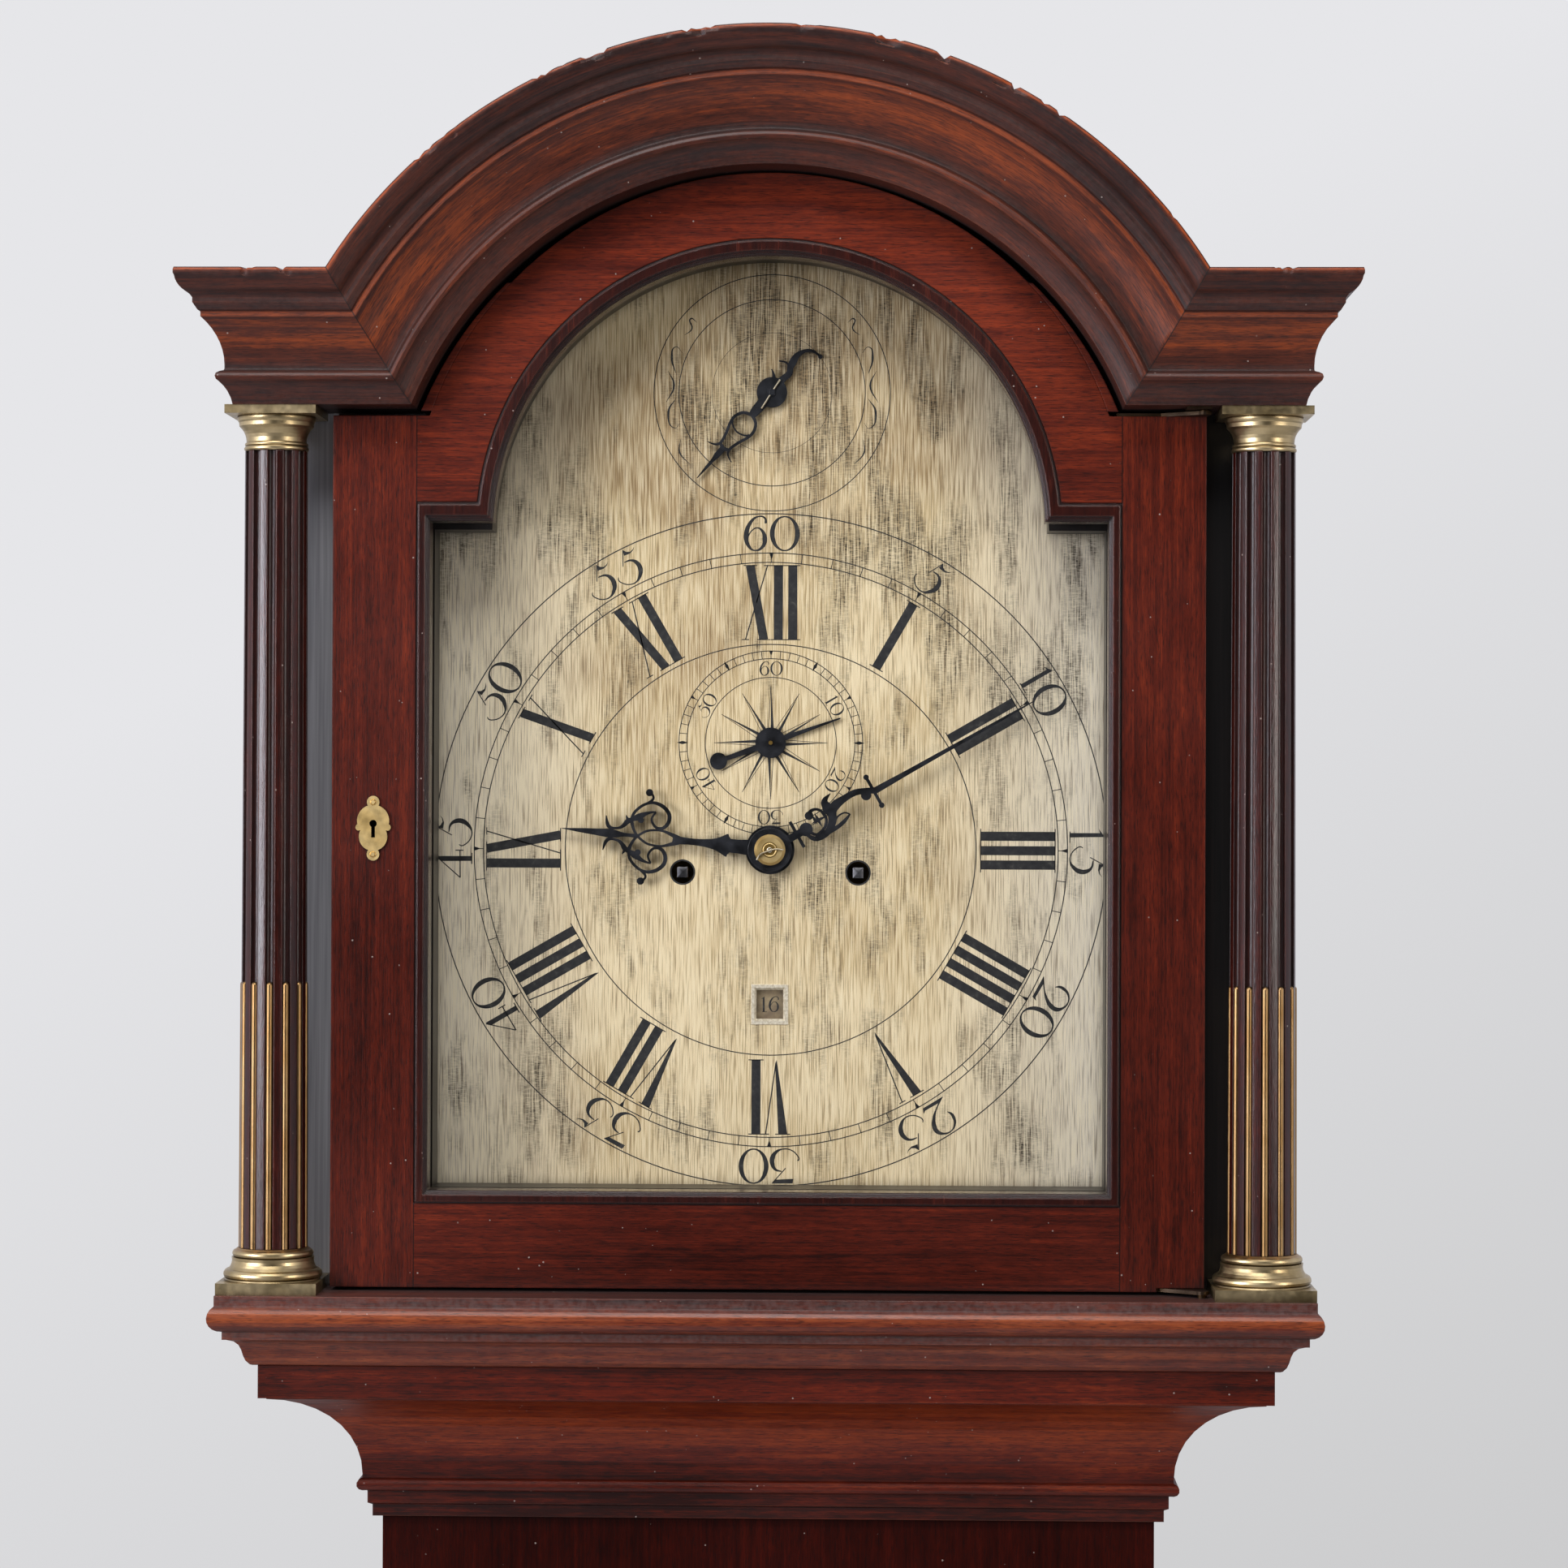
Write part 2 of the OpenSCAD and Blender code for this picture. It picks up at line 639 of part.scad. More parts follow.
module column_brasses() {
    reed_h = shaft_h * 0.33;
    color("#b8923f") column_places() {
        // Foot: square plate, lower round, hollow and upper ring
        translate([-foot_w / 2, -foot_w / 2, 0]) cube([foot_w, foot_w, 4.9]);
        translate([0, 0, 4.9]) rotate_extrude() polygon(concat([[0, 0], [20.6, 0]],
            arc([18.9, 2.3], 2.3, -50, 70, 5), [[19, 4.6]], arc([22.5, 8.2], 5, 225, 165, 4),
            [[16.9, 9.7]], arc([15.7, 11.1], 1.7, -60, 80, 5), [[15.1, foot_h - 4.9], [0, foot_h - 4.9]]));
        // Capital: astragal, neck, spreading bell and square abacus
        translate([0, 0, column_h - capital_h]) rotate_extrude() polygon(concat([[0, 0], [13.2, 0]],
            arc([12.8, 1.1], 1.1, -60, 90, 4), arc([12.7, 2.9], 0.9, -60, 80, 4), [[12.9, 4]],
            arc([21.4, 4.2], 8.5, 180, 130, 5), [[16, 11.4]], arc([13.8, 14.2], 3, -40, 20, 4),
            [[16.8, capital_h - 3.7], [0, capital_h - 3.7]]));
        translate([-abacus_w / 2, -abacus_w / 2, column_h - 3.7]) cube([abacus_w, abacus_w, 3.7]);
        // Reeds: brass rods let into the lower third of the flutes
        for (i = [0:flutes - 1]) rotate(i * 360 / flutes)
            translate([column_r - flute_in - flute_r + reed_r, 0, foot_h]) rotate([0, -shaft_lean, 0]) {
                translate([0, 0, 0.2]) cylinder(r = reed_r, h = reed_h, $fn = 16);
                translate([0, 0, reed_h]) sphere(r = reed_r, $fn = 16);
            }
    }
}

// Socket for the hood door's upper pin, let in over the door
module hood_hinge_plates() {
    color("#8f7336") difference() {
        block(hinge_x - 8, hinge_x + 0.6 + hinge_pin_r, y_dial - cornice_face + 6, y_door - 1,
            z_cornice - 1, z_cornice);
        translate([hinge_x, hinge_y, z_cornice - 3]) cylinder(r = hinge_pin_r + running_fit, h = 8);
    }
}

module door_outline(inset) {
    arched(door_w / 2 - inset, door_low + inset, door_shoulder - inset, door_arch_r - inset, z_arch);
}

module opening_outline(inset) {
    arched(opening_half - inset, opening_low + inset, opening_shoulder - inset * 1.5,
        opening_arch_r - inset * 1.35, z_arch);
}

module hood_door_frame() {
    lock_x = -(door_w / 2) + door_stile / 2;
    lock_z = z_dial + 9;
    color("#5a2418") difference() {
        along_y(y_door, y_door + door_t) difference() {
            door_outline(0);
            opening_outline(0);
        }
        // Keyhole, the lock's pocket and the housings of the two hinge straps
        rod_y(lock_x, lock_z + 2, 1.6, y_door - 1, y_door + door_t + 1);
        block(lock_x - 0.8, lock_x + 0.8, y_door - 1, y_door + door_t, lock_z - 4, lock_z + 2);
        block(lock_x - 12 - let_in_gap, lock_x + 12 + let_in_gap, y_door + door_t - 9 - let_in_gap,
            y_door + door_t + 1, lock_z - 18 - let_in_gap, lock_z + 18 + let_in_gap);
        block(hinge_x - 37 - let_in_gap, reach, y_door + 2 - let_in_gap, y_door + 14 + let_in_gap,
            door_low - 1, door_low + strap_t + let_in_gap);
        block(hinge_x - strap_open - 1, reach, y_door - 1, y_door + 3, door_low - 1, door_low + strap_t + let_in_gap);
    }
}

module glazing_bead() {
    depth = door_t - glass_t - 4;
    steps = 4;
    color("#5e2417") {
        // The bead rounds down from the frame to the sight edge in fine steps
        for (i = [0:steps - 1]) along_y(y_door - 1.2 + i * 1.6, y_door + depth) difference() {
            opening_outline(i == 0 ? 0.9 : 0);
            opening_outline(bead_w * (0.55 + 0.45 * sin(90 * (i + 1) / steps)));
        }
    }
}

module door_glass() {
    y0 = y_door + door_t - glass_t - 4;
    color("#cfd8d6", 0.3) along_y(y0, y0 + glass_t) opening_outline(let_in_gap);
}

// Lobed escutcheon with its two round-headed pins and a keyhole
module escutcheon(x, z, y, scale_by) {
    translate([x, y, z]) rotate([90, 0, 0]) scale(scale_by) difference() {
        union() {
            linear_extrude(1.2) union() {
                translate([0, 3.2]) circle(r = 6.9);
                translate([0, -3.6]) circle(r = 6.1);
                for (side = [-1, 1]) translate([0, side * 11.2]) circle(r = 2.7);
                for (side = [-1, 1]) translate([side * 6.2, 0.4]) circle(r = 1.4);
            }
            for (side = [-1, 1]) translate([0, side * 11.2, 1.2]) cylinder(r1 = 1.4, r2 = 0.8, h = 0.8);
        }
        translate([0, 2, -1]) cylinder(r = 1.6, h = 4);
        translate([-0.8, -4, -1]) cube([1.6, 6, 4]);
    }
}

module hood_escutcheon() {
    color("#b8923f") escutcheon(-(door_w / 2) + door_stile / 2, z_dial + 9, y_door, 1);
}

module hood_door_lock() {
    lock_x = -(door_w / 2) + door_stile / 2;
    lock_z = z_dial + 9;
    color("#8f7336") difference() {
        block(lock_x - 12, lock_x + 12, y_door + door_t - 9, y_door + door_t, lock_z - 18, lock_z + 18);
        rod_y(lock_x, lock_z + 2, 1.6, y_door, y_door + door_t + 1);
    }
}

module strap(z0) {
    translate([0, 0, z0]) linear_extrude(strap_t) polygon(concat(
        [[hinge_x - 37, y_door + 14], [hinge_x - 37, y_door + 2], [hinge_x - strap_open, y_door + 2]],
        arc([hinge_x, hinge_y], hinge_pin_r + 1.2, 215, 340, 6), [[hinge_x + 1.4, y_door + 2], [hinge_x + 1.4, y_door + 14]]));
}

module hood_hinge_straps() {
    color("#8f7336") {
        strap(door_low);
        strap(door_shoulder);
        translate([hinge_x, hinge_y, z_floor - 7]) cylinder(r = hinge_pin_r, h = door_low - z_floor + 7.5);
        translate([hinge_x, hinge_y, door_shoulder + 0.5]) cylinder(r = hinge_pin_r, h = z_cornice - door_shoulder - 0.6);
    }
}

module trunk_door_panel() {
    lock_x = -trunk_door_w / 2 + 20;
    lock_z = (trunk_door_low + trunk_door_high) / 2;
    back = y_trunk + trunk_door_t - trunk_lip_t;
    color("#6a2c1a") difference() {
        union() {
            along_y(y_trunk - 0.2, back) trunk_opening(-door_gap);
            along_y(y_trunk - trunk_lip_t - 0.2, y_trunk - 0.2) trunk_opening(trunk_lip);
        }
        rod_y(lock_x, lock_z + 2, 1.6, y_trunk - 10, back + 1);
        block(lock_x - 0.8, lock_x + 0.8, y_trunk - 10, back, lock_z - 4, lock_z + 2);
        block(lock_x - 12 - let_in_gap, lock_x + 12 + let_in_gap, back - 9 - let_in_gap, back + 1,
            lock_z - 18 - let_in_gap, lock_z + 18 + let_in_gap);
    }
}

module trunk_escutcheon() {
    color("#b8923f") escutcheon(-trunk_door_w / 2 + 20, (trunk_door_low + trunk_door_high) / 2,
        y_trunk - trunk_lip_t - 0.2, 1);
}

module trunk_door_lock() {
    lock_x = -trunk_door_w / 2 + 20;
    lock_z = (trunk_door_low + trunk_door_high) / 2;
    back = y_trunk + trunk_door_t - trunk_lip_t;
    color("#8f7336") difference() {
        block(lock_x - 12, lock_x + 12, back - 9, back, lock_z - 18, lock_z + 18);
        rod_y(lock_x, lock_z + 2, 1.6, back - 10, back + 1);
    }
}

module trunk_door_leaves() {
    leaf_y = y_trunk - trunk_lip_t - 0.2 - 1.6 - trunk_hinge_y;
    color("#b08a3e") translate([trunk_hinge_x, trunk_hinge_y, 0]) hinge_heights() difference() {
        union() {
            translate([0, 0, -8.7]) cylinder(r = trunk_hinge_r, h = 17.4);
            translate([-22, leaf_y, -8.7]) cube([22, 1.6, 17.4]);
            translate([-22, leaf_y, -hinge_h / 2]) cube([18.4, 1.6, hinge_h]);
        }
        cylinder(r = 1.2 + running_fit, h = 60, center = true);
    }
}

// Centre arbor: wheel and pinion between the plates, cannon wheel and pipe in front
module centre_wheel() {
    wheel_y = y_plate + plate_t + 3;
    pinion_y = y_rear_plate - 9;
    color("#b8923f") {
        along_y(wheel_y, wheel_y + 1.8) translate([0, z_dial]) wheel(60, wheel_m, 0.1, 0);
        along_y(pinion_y - 1, pinion_y + 6) translate([0, z_dial]) pinion(8, great_m, 0);
        rod_y(0, z_dial, 1.6, wheel_y, y_rear_plate - 0.3);
        rod_y(0, z_dial, 2, y_plate - 2, wheel_y + 0.1);
        rod_y(0, z_dial, 2, y_rear_plate - 2, y_rear_plate + plate_t);
        along_y(y_plate - 5, y_plate - 3) translate([0, z_dial]) wheel(36, 0.5, 0.1, 0, 4);
        rod_y(0, z_dial, pipe_r, y_dial - 10.4, y_plate - 2);
    }
}

// Smooth curve through drawn points [x, y, half width]
function between(a, b, c, d, t) = 0.5 * (2 * b + (c - a) * t + (2 * a - 5 * b + 4 * c - d) * t * t
    + (3 * b - a - 3 * c + d) * t * t * t);
function smooth(p, n) = concat([for (i = [0:len(p) - 2]) for (k = [0:n - 1])
    between(p[max(i - 1, 0)], p[i], p[i + 1], p[min(i + 2, len(p) - 1)], k / n)], [p[len(p) - 1]]);

// Filed strip of a pierced hand: it follows the drawn points and swells to their half widths
module strip(p, n = 3) {
    q = smooth(p, n);
    last = len(q) - 1;
    side = [for (i = [0:last]) let (t = q[min(i + 1, last)] - q[max(i - 1, 0)])
        [-t[1], t[0]] / norm([t[0], t[1]]) * q[i][2]];
    polygon(concat([for (i = [0:last]) [q[i][0], q[i][1]] + side[i]],
        [for (i = [last:-1:0]) [q[i][0], q[i][1]] - side[i]]));
}

// Ball that ends a scroll or stands on the middle line
module ball(x, y, r) {
    translate([x, y]) circle(r = r, $fn = 20);
}

// Four-pointed star
module star(x, y, r, waist) {
    translate([x, y]) polygon([for (i = [0:7]) (i % 2 == 0 ? r : waist) * [sin(i * 45), cos(i * 45)]]);
}

// Minute hand: its scrolls lie to one side and then the other of the middle line
module minute_hand_shape() {
    difference() {
        offset(delta = 0.01) {
            circle(r = 8.6);
            strip([[0, 7, 2.2], [0, 9.5, 1.7], [0, 18, 1.7]]);
            translate([-6.4, 13]) square([12.8, 1.4]);
            ball(0, 18.2, 3);
            strip([[-4.6, 22.3, 1.3], [-6, 23.9, 0.8], [-5.5, 26.5, 0.6], [-2.9, 28.3, 0.6], [0.6, 28.1, 0.6],
                [3.3, 25.7, 0.65], [4.3, 21.2, 0.65], [1.5, 19.1, 0.65]]);
            strip([[1.5, 17, 0.5], [5.3, 19.4, 1.1], [6.1, 23.1, 1.3], [5.1, 27, 1.5], [2.3, 30.2, 1.8],
                [-1.3, 32, 2], [-3, 34.7, 2.1], [-3.6, 39.5, 1.5], [-3.6, 44.7, 1.4], [-1.9, 49.3, 1.3],
                [0, 53, 1.4]]);
            strip([[-2.3, 32.1, 1.8], [-5.5, 30.9, 1.8], [-7.4, 32, 1.1], [-8.5, 35.2, 0.15]]);
            strip([[0.1, 30.7, 0.9], [-3.8, 29.4, 0.7], [-6.7, 30.6, 0.3]]);
            strip([[5.8, 26.5, 1.1], [5.8, 30.9, 0.9], [4.9, 35.1, 0.8], [3.5, 38.4, 0.3]]);
            strip([[3.8, 30.1, 0.6], [1.9, 32.9, 0.4], [1.8, 36.4, 0.35], [3.5, 38.2, 0.3]]);
            ball(-0.2, 48.5, 2.3);
            ball(-4.6, 22.3, 1.9);
            star(-1, 24.9, 3.6, 0.9);
            translate([-7, 51.6]) square([14, 1.4]);
            for (side = [-1, 1]) ball(side * 7, 52.3, 1.2);
            strip([[0, 52, 1.5], [0, 68.8, 1.1], [0, 91.5, 0.85], [0, minute_len - 9, 0.5],
                [0, minute_len, 0.15]], 1);
        }
        circle(r = pipe_r + running_fit);
    }
}

module minute_hand() {
    y1 = y_dial - 6.6;
    color("#17181b") translate([0, 0, z_dial]) rotate([0, minute_at, 0]) along_y(y1 - hand_t, y1)
        minute_hand_shape();
}

module hand_collet() {
    y1 = y_dial - 6.6 - hand_t;
    color("#b8923f") {
        translate([0, y1 - 0.1, z_dial]) rotate([90, 0, 0]) difference() {
            rotate_extrude() polygon([[0, 0], [6.8, 0], [6.8, 0.8], [5.6, 2], [0, 2]]);
            translate([0, 0, -1]) cylinder(r = pipe_r + running_fit, h = 5);
        }
    }
}

module hour_wheel() {
    y1 = y_plate - 12;
    m = 36 / 78;
    color("#b8923f") difference() {
        union() {
            along_y(y1, y1 + 1.6) translate([0, z_dial])
                wheel(72, m, 0.1, meshed(72, 6, 0, 0, -motion_z), 5);
            rod_y(0, z_dial, hour_pipe_r, y_dial - 5.2, y1 + 1);
        }
        rod_y(0, z_dial, pipe_r + running_fit, y_dial - 10, y_plate);
    }
}

// Hour hand: open scrolls and leaves that mirror each other
module hour_hand_shape() {
    difference() {
        offset(delta = 0.01) {
            circle(r = 10.7);
            strip([[0, 9, 3.5], [0, 11, 3.3], [0, 17.6, 3], [0, 18.8, 5], [0, 20.4, 4.4], [0, 24, 2.6],
                [0, 29, 1.7], [0, 34, 1.4], [0, 38.2, 1.6], [0, 43, 1.9]], 2);
            for (side = [-1, 1]) scale([side, 1]) {
                strip([[0.6, 40, 1.1], [1.3, 41.5, 1], [3.2, 46.9, 0.55], [3.4, 50.9, 0.5], [2.6, 54.7, 0.5],
                    [0, 58.5, 0.55], [-3, 60.6, 0.6], [-6, 61.7, 0.8]]);
                strip([[6.4, 62, 0.6], [9.9, 61.1, 0.6], [13, 58.4, 0.6], [14.8, 55.3, 0.6], [15.2, 52, 0.7],
                    [13.8, 48.3, 0.85], [10.8, 45.6, 0.85], [7.2, 45.6, 0.85], [4.6, 47.7, 0.75],
                    [4.5, 50.6, 0.6], [6.5, 52.6, 0.5], [8.7, 53, 0.45], [11.3, 51.5, 0.4]]);
                strip([[6.1, 63, 0.9], [7.3, 61.1, 1], [8.5, 58.6, 1.5], [9.9, 56.4, 0.9], [11, 53.6, 0.5],
                    [11.3, 51.5, 0.4]]);
                ball(7.1, 57.7, 1.3);
                strip([[14.4, 56.4, 0.4], [15.9, 54.1, 0.55], [17.5, 53.2, 0.5], [19.2, 54.2, 0.5]]);
                ball(19.5, 55.2, 1.6);
                strip([[6.9, 61.7, 1], [6, 63.5, 1.15], [4.3, 64.8, 0.9], [2.9, 66.6, 0.6], [2.4, 69.2, 0.55],
                    [2.7, 71.2, 0.8], [4.5, 72.4, 0.7], [7.6, 73.1, 0.15]]);
                strip([[6.2, 63, 0.8], [7.3, 63.8, 0.6], [8.6, 64.4, 0.1]]);
                strip([[3.4, 50, 0.5], [4, 50.3, 0.5], [4.6, 50.4, 0.5]]);
            }
            strip([[0, 57.6, 0.9], [0, 64, 0.8], [0, 70.2, 1.9], [0, 76.9, 1.45], [0, 83.5, 0.95],
                [0, hour_len, 0.1]]);
            strip([[-2.8, 70.4, 0.7], [0, 70.2, 0.9], [2.8, 70.4, 0.7]]);
        }
        circle(r = hour_pipe_r + running_fit);
    }
}

module hour_hand() {
    y1 = y_dial - 3.4;
    color("#17181b") translate([0, 0, z_dial]) rotate([0, hour_at, 0]) along_y(y1 - hand_t, y1)
        hour_hand_shape();
}

// Motion work between the centre and the hour wheel, on a stud in the front plate
module minute_wheel() {
    y1 = y_plate - 5;
    m = 36 / 78;
    color("#b8923f") difference() {
        union() {
            along_y(y1, y1 + 2) translate([0, z_dial + motion_z])
                wheel(36, 0.5, 0.1, meshed(36, 36, 0, 0, motion_z), 4);
            along_y(y1 - 9, y1 + 1) translate([0, z_dial + motion_z]) pinion(6, m, 0);
            rod_y(0, z_dial + motion_z, 0.9, y1 - 10, y_plate);
        }
    }
}

module third_wheel() {
    wheel_y = y_plate + plate_t + 38;
    pinion_y = y_plate + plate_t + 1.5;
    color("#b8923f") {
        along_y(wheel_y, wheel_y + 1.6) translate([third_x, z_dial + third_z]) wheel(56, wheel_m, 0.1, 0);
        along_y(pinion_y, pinion_y + 5) translate([third_x, z_dial + third_z])
            pinion(8, wheel_m, meshed(8, 60, 0, third_x, third_z));
        arbor(third_x, z_dial + third_z, 1.3);
    }
}

module escape_wheel() {
    wheel_y = y_plate + plate_t + 12;
    pinion_y = y_plate + plate_t + 36;
    teeth = 30;
    step = 360 / teeth;
    color("#b8923f") {
        along_y(wheel_y, wheel_y + 1.4) translate([0, z_dial + escape_z]) rotate(3) difference() {
            polygon([for (i = [0:teeth - 1]) each [
                escape_r * [sin(i * step), cos(i * step)],
                (escape_r - 0.1) * [sin(i * step + 1), cos(i * step + 1)],
                (escape_r - 3.4) * [sin(i * step + 3.6), cos(i * step + 3.6)],
                (escape_r - 3.4) * [sin(i * step + 10.4), cos(i * step + 10.4)]]]);
            difference() {
                circle(r = escape_r - 5.4);
                circle(r = 4);
                for (i = [0:3]) rotate(i * 90) translate([-1, 0]) square([2, escape_r]);
            }
        }
        along_y(pinion_y, pinion_y + 6) translate([0, z_dial + escape_z])
            pinion(7, wheel_m, meshed(7, 56, 0, -third_x, escape_z - third_z));
        arbor(0, z_dial + escape_z, 1.3);
        rod_y(0, z_dial + escape_z, 0.9, y_dial - 2.8, y_plate + 1);
    }
}

module seconds_hand() {
    y1 = y_dial - 0.8;
    l = seconds_len;
    color("#17181b") translate([0, 0, z_dial + escape_z]) rotate([0, seconds_at, 0])
        along_y(y1 - 1.2, y1) difference() {
            offset(delta = 0.01) {
                circle(r = 6.7);
                polygon([[-1.6, 0], [-0.9, l * 0.4], [-0.35, l - 1], [0, l], [0.35, l - 1], [0.9, l * 0.4], [1.6, 0]]);
                polygon([[-1.5, 0], [-1, -22], [1, -22], [1.5, 0]]);
                translate([0, -24.3]) circle(r = 3.75, $fn = 32);
            }
            circle(r = 0.9 + running_fit);
        }
}

module great_wheel(x, layer, teeth, turn) {
    along_y(layer, layer + 2.5) translate([x, z_dial + barrel_z]) difference() {
        wheel(teeth, great_m, 3.2 + running_fit, turn, 6);
        circle(r = 3.2 + running_fit);
    }
}

module barrel(x) {
    z = z_dial + barrel_z;
    core = barrel_r - line_r - 0.3;
    difference() {
        union() {
            translate([x, barrel_y1, z]) rotate([90, 0, 0]) rotate_extrude($fn = 64) polygon(concat(
                [[0, 0], [21.5, 0], [21.5, 1.6], [core, 1.6]],
                [for (i = [0:14]) [core - (i % 2 == 0 ? 0 : 0.5), 2.4 + i * 1.8]],
                [[core, 28.4], [21.5, 28.4], [21.5, 30], [0, 30]]));
            rod_y(x, z, 3.2, y_plate, y_rear_plate + plate_t);
            rod_y(x, z, 3.6, barrel_y0 - 14, barrel_y0 + 1);
        }
    }
    // Winding square that reaches to the dial
    block(x - 2.3, x + 2.3, y_dial - 1.5, y_plate + 0.1, z - 2.3, z + 2.3);
}

module going_great_wheel() {
    color("#b8923f") great_wheel(barrel_x, y_rear_plate - 8, 96, meshed(96, 8, 0, barrel_x, barrel_z));
}

module going_barrel() {
    color("#b8923f") barrel(barrel_x);
}

module strike_great_wheel() {
    color("#b8923f") great_wheel(-barrel_x, y_rear_plate - 12, 84, 0);
}

module strike_barrel() {
    color("#b8923f") barrel(-barrel_x);
}

// Lead weight with its stirrup, pulley pin and the turn of gut under the pulley
module hung_weight(x) {
    top = weight_low + weight_h;
    difference() {
        union() {
            translate([x, line_y, weight_low]) rotate_extrude($fn = 64) polygon(concat([[0, 0]],
                arc([weight_r - 4, 4], 4, -90, 0, 4), arc([weight_r - 4, weight_h - 4], 4, 0, 90, 4),
                [[0, weight_h]]));
            translate([x, line_y, top - 1]) cylinder(r = 3, h = 13);
            for (side = [-1, 1]) block(x - 4, x + 4, line_y + side * 5.5 - 1, line_y + side * 5.5 + 1,
                top + 10, pulley_z + 5);
            block(x - 4, x + 4, line_y - 6.5, line_y + 6.5, top + 10, top + 13);
            rod_y(x, pulley_z, 2, line_y - 6, line_y + 6);
        }
    }
    translate([x, line_y, pulley_z]) rotate([90, 0, 0]) rotate([0, 0, 180]) rotate_extrude(angle = 180, $fn = 64)
        translate([pulley_r, 0]) circle(r = line_r, $fn = 16);
}

module going_weight() {
    color("#77777a") hung_weight(weight_x);
}

module strike_weight() {
    color("#77777a") hung_weight(-weight_x);
}

module pulley(x) {
    groove = pulley_r - line_r - 0.3;
    difference() {
        translate([x, line_y + 3.5, pulley_z]) rotate([90, 0, 0]) difference() {
            rotate_extrude($fn = 64) polygon([[0, 0], [24.5, 0], [24.5, 1.2], [groove, 2.4], [groove, 4.6],
                [24.5, 5.8], [24.5, 7], [0, 7]]);
            for (i = [0:4]) rotate(i * 72) translate([12.5, 0, -1]) cylinder(r = 4.2, h = 9, $fn = 32);
        }
        rod_y(x, pulley_z, 2 + running_fit, line_y - 10, line_y + 10);
    }
}

module going_pulley() {
    color("#b8923f") pulley(weight_x);
}

module strike_pulley() {
    color("#b8923f") pulley(-weight_x);
}

// The two falls of gut between the seat board and the pulley
module falls(side) {
    for (x = [line_in, line_out]) translate([side * x, line_y, pulley_z])
        cylinder(r = line_r, h = seat_z - pulley_z, $fn = 16);
}

module going_line() {
    color("#c8a870") falls(1);
}

module strike_line() {
    color("#c8a870") falls(-1);
}

module strike_pin_wheel() {
    wheel_y = y_plate + plate_t + 3;
    color("#b8923f") {
        along_y(wheel_y, wheel_y + 1.8) translate([strike_x, z_dial + strike_z]) wheel(64, 0.65, 0.1, 0);
        for (i = [0:7]) translate([strike_x, wheel_y + 5, z_dial + strike_z]) rotate([0, i * 45, 0])
            translate([0, 0, 18.8]) rotate([90, 0, 0]) cylinder(r = 0.8, h = 4.2, $fn = 16);
        along_y(y_rear_plate - 14, y_rear_plate - 8) translate([strike_x, z_dial + strike_z])
            pinion(8, great_m, meshed(8, 84, 0, strike_x + barrel_x, strike_z - barrel_z));
        arbor(strike_x, z_dial + strike_z, 1.3);
    }
}

// Hammer: arbor between the plates, tail down by the pins, arm and head up by the bell
module hammer() {
    z = z_dial + hammer_z;
    y0 = y_plate + plate_t + 5.5;
    head_z = plate_top + 20;
    color("#3b3b3e") {
        arbor(hammer_x, z, 1.3);
        block(hammer_x - 1.4, hammer_x + 1.4, y0, y0 + 2, z - 20, z);
        block(hammer_x - 1.4, hammer_x + 1.4, line_y - 1, line_y + 1.5, z, head_z);
        translate([hammer_x + 1, line_y, head_z]) sphere(r = 5.5);
    }
}

module pallets() {
    z = z_dial + pallet_z;
    y0 = y_plate + plate_t + 11;
    y_rear = y_rear_plate + plate_t;
    color("#4a4b50") {
        along_y(y0, y0 + 3.2) translate([0, z]) {
            circle(r = 4, $fn = 32);
            for (side = [-1, 1]) scale([side, 1]) polygon([[0, 3.4], [9, 1.6], [15.4, -6], [16.8, -13.2],
                [14.2, -12.4], [12.2, -6], [6.6, -1.6], [0, -3]]);
        }
        rod_y(0, z, 1.3, y_plate + plate_t + 0.3, y_rear_plate - 0.3);
        rod_y(0, z, pivot_r, y_plate, pendulum_y - 6);
        // Crutch: down behind the plate, then back round the pendulum rod
        rod_y(0, z, 2.2, y_rear + 0.6, y_rear + 3.2);
        block(-1.5, 1.5, y_rear + 1, y_rear + 2.6, z - 90, z);
        for (side = [-1, 1]) block(side * 3.3 - 1, side * 3.3 + 1, y_rear + 1, pendulum_y + 4, z - 90, z - 86);
        block(-4.3, 4.3, y_rear + 1, y_rear + 2.6, z - 90, z - 84);
    }
}

module pendulum_rod() {
    z = z_dial + pallet_z;
    bob_z = z - pendulum_l;
    color("#4a4b50") {
        translate([0, pendulum_y, bob_z - bob_r - 22]) cylinder(r = 1.6, h = pendulum_l + bob_r + 22 - 4);
        block(-0.25, 0.25, pendulum_y - 3, pendulum_y + 3, z - 5, z + 24);
        block(-3.5, 3.5, pendulum_y - 3.2, pendulum_y + 3.2, z + 21.3, z + 26);
        translate([0, pendulum_y, bob_z - bob_r - 7.3]) cylinder(r = 6, h = 7);
    }
}

module pendulum_bob() {
    z = z_dial + pallet_z - pendulum_l;
    color("#b8923f") difference() {
        translate([0, pendulum_y, z]) rotate([90, 0, 0]) rotate_extrude($fn = 96) polygon(concat([[0, -10]],
            [for (i = [0:8]) [bob_r * sin(i * 11.25), -2 - 8 * pow(cos(i * 11.25), 1.2)]],
            [for (i = [8:-1:0]) [bob_r * sin(i * 11.25), 2 + 8 * pow(cos(i * 11.25), 1.2)]]));
        translate([0, pendulum_y, z - bob_r - 5]) cylinder(r = 1.6 + running_fit, h = 2 * bob_r + 10);
    }
}

